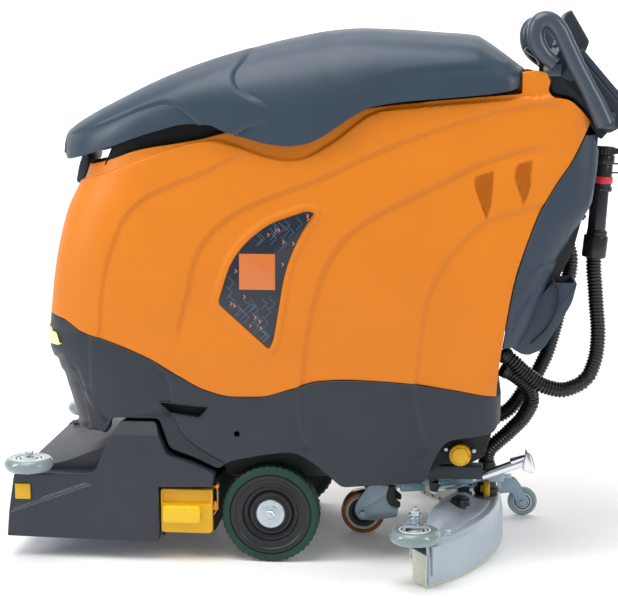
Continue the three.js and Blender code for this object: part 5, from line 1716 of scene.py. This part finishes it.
def make_inside():
    pack = [box(-165, 165, 15, 358, 202, 440, 6)]
    pack += [box(-160 + 82 * k, -86 + 82 * k, 22, 352, 438, 446, 3) for k in range(4)]
    pack += [box(x - 26, x + 26, 160, 168, 440, 462, 3) for x in (-100, 100)]
    piece("battery", merged(*pack), "chassis", inner_black, ["battery_pack"])
    terminals = [disc(9, 440, 452, "z", (x, 90, 0), 2, 24) for x in (-100, 100)]
    piece("battery_terminals", merged(*terminals), "chassis", zinc)
    stand = (80, 40, 494)
    can = turned([(0, 0), (62, 0, 3), (62, 88, 6), (48, 110, 6), (48, 148, 4), (0, 150)], "z", stand, 56)
    ribs = [disc(50, h, h + 3, "z", stand, 1, 56) for h in range(112, 146, 7)]
    motor = merged(can, *ribs, disc(29, 148, 199, "z", stand, 4, 40))
    piece("suction_motor", motor, "chassis", zinc, ["vacuum_motor"])
    tray = as_object("basket", merged(box(-150, -20, 250, 400, 760, 900, 3),
                                      box(-154, -16, 246, 404, 896, 900, 1.5)))
    inside = box(-145, -25, 255, 395, 765, 940, 2)
    slots = [box(-160, -10, 262 + 18 * k, 272 + 18 * k, 776, 880, 1) for k in range(8)]
    slots += [box(-138 + 18 * k, -128 + 18 * k, 240, 410, 776, 880, 1) for k in range(6)]
    cut(tray, inside)
    cut(tray, *slots[:8])
    cut(tray, *slots[8:])
    piece("basket", tray, "chassis", yellow, ["filter_basket"])
    ball = turned([(0, -26), (12, -24, 4), (22, -14, 8), (26, 0, 8), (22, 14, 8), (12, 24, 4), (0, 26)],
                  "z", (80, 330, 790), 48)
    piece("float", ball, "float", red, ["float_ball"], 60)
    guide = merged(disc(4, 764, 864, "z", (80, 330, 0), 1, 16),
                   box(50, 110, 324, 336, 860, 864, 1.5))
    piece("float_guide", guide, "chassis", black_plastic)


def make_lenses():
    for name, side in SIDES:
        rows = []
        for share in np.linspace(0, 1, 8):
            s = np.linspace(-441, -660, 40)
            z = 440 + share * (np.interp(s, [-660, -456, -440], [473, 464, 441]) - 440)
            rows.append(on_body(s, z))
        grid = np.array(rows) * (side, 1, 1)
        if side < 0:
            grid = grid[:, ::-1]
        back = grid[..., 0] * side > 100
        keep = back.all(axis=0)
        piece("lamp_" + name, skin(pushed(grid[:, keep], np.full(grid[:, keep].shape[:2], 1.5)), 6, 2),
              "chassis", lens, ["headlamp_" + name])


make_frame()
make_inside()
make_lenses()


# ---- stage -----------------------------------------------------------------------------------
def make_stage():
    """A pale floor that curves up behind the machine into a backdrop that glows a little."""
    data = bpy.data.meshes.new("floor")
    reach, rise, bend = 14.0, 7.0, 2.5
    line = [(8.0, 0.0), (-5.0, 0.0)]
    line += [(-5.0 - bend * math.sin(t), bend * (1 - math.cos(t))) for t in np.linspace(0, math.pi / 2, 17)]
    line += [(-5.0 - bend, rise)]
    points = [(x, y, z) for x, z in line for y in (-reach, reach)]
    data.from_pydata(points, [], grid_faces(len(line), 2))
    data.shade_smooth()
    floor = bpy.data.objects.new("floor", data)
    scene.collection.objects.link(floor)
    paper = surface("backdrop", tone(252, 252, 252), None, rough=0.75, vary=0.004, grain_depth=0.02,
                    glow=0.06)
    wall = surface("backdrop_wall", tone(252, 252, 252), None, rough=0.75, vary=0.004, grain_depth=0.02,
                   glow=0.5)
    data.materials.append(paper)
    data.materials.append(wall)
    for face in data.polygons:
        face.material_index = int(face.center.x < -5.0)


def make_light(name, place, aim, size, power):
    data = bpy.data.lights.new(name, "AREA")
    data.shape = "RECTANGLE"
    data.size, data.size_y = size
    data.energy = power
    lamp = bpy.data.objects.new(name, data)
    lamp.location = place
    lamp.rotation_euler = (Vector(aim) - Vector(place)).to_track_quat("-Z", "Y").to_euler()
    scene.collection.objects.link(lamp)


def make_lighting():
    """A big light overhead, one at each end and one on the backdrop, in a pale room."""
    scene.view_settings.view_transform = "Standard"
    world = bpy.data.worlds.new("studio")
    world.use_nodes = True
    world.node_tree.nodes["Background"].inputs[0].default_value = (1, 1, 1, 1)
    world.node_tree.nodes["Background"].inputs[1].default_value = 0.32
    scene.world = world
    middle = (0, 0, 0.5)
    make_light("key_top", (0.9, -0.6, 3.3), middle, (2.2, 2.6), 80)
    make_light("front_side", (1.6, -3.6, 2.4), middle, (1.0, 2.2), 62)
    make_light("rear_side", (1.8, 3.3, 2.2), middle, (0.9, 2.2), 44)
    make_light("backdrop_wash", (-2.5, 0, 4.5), (-5.0, 0, 0.5), (6.0, 2.0), 150)


make_stage()
make_lighting()
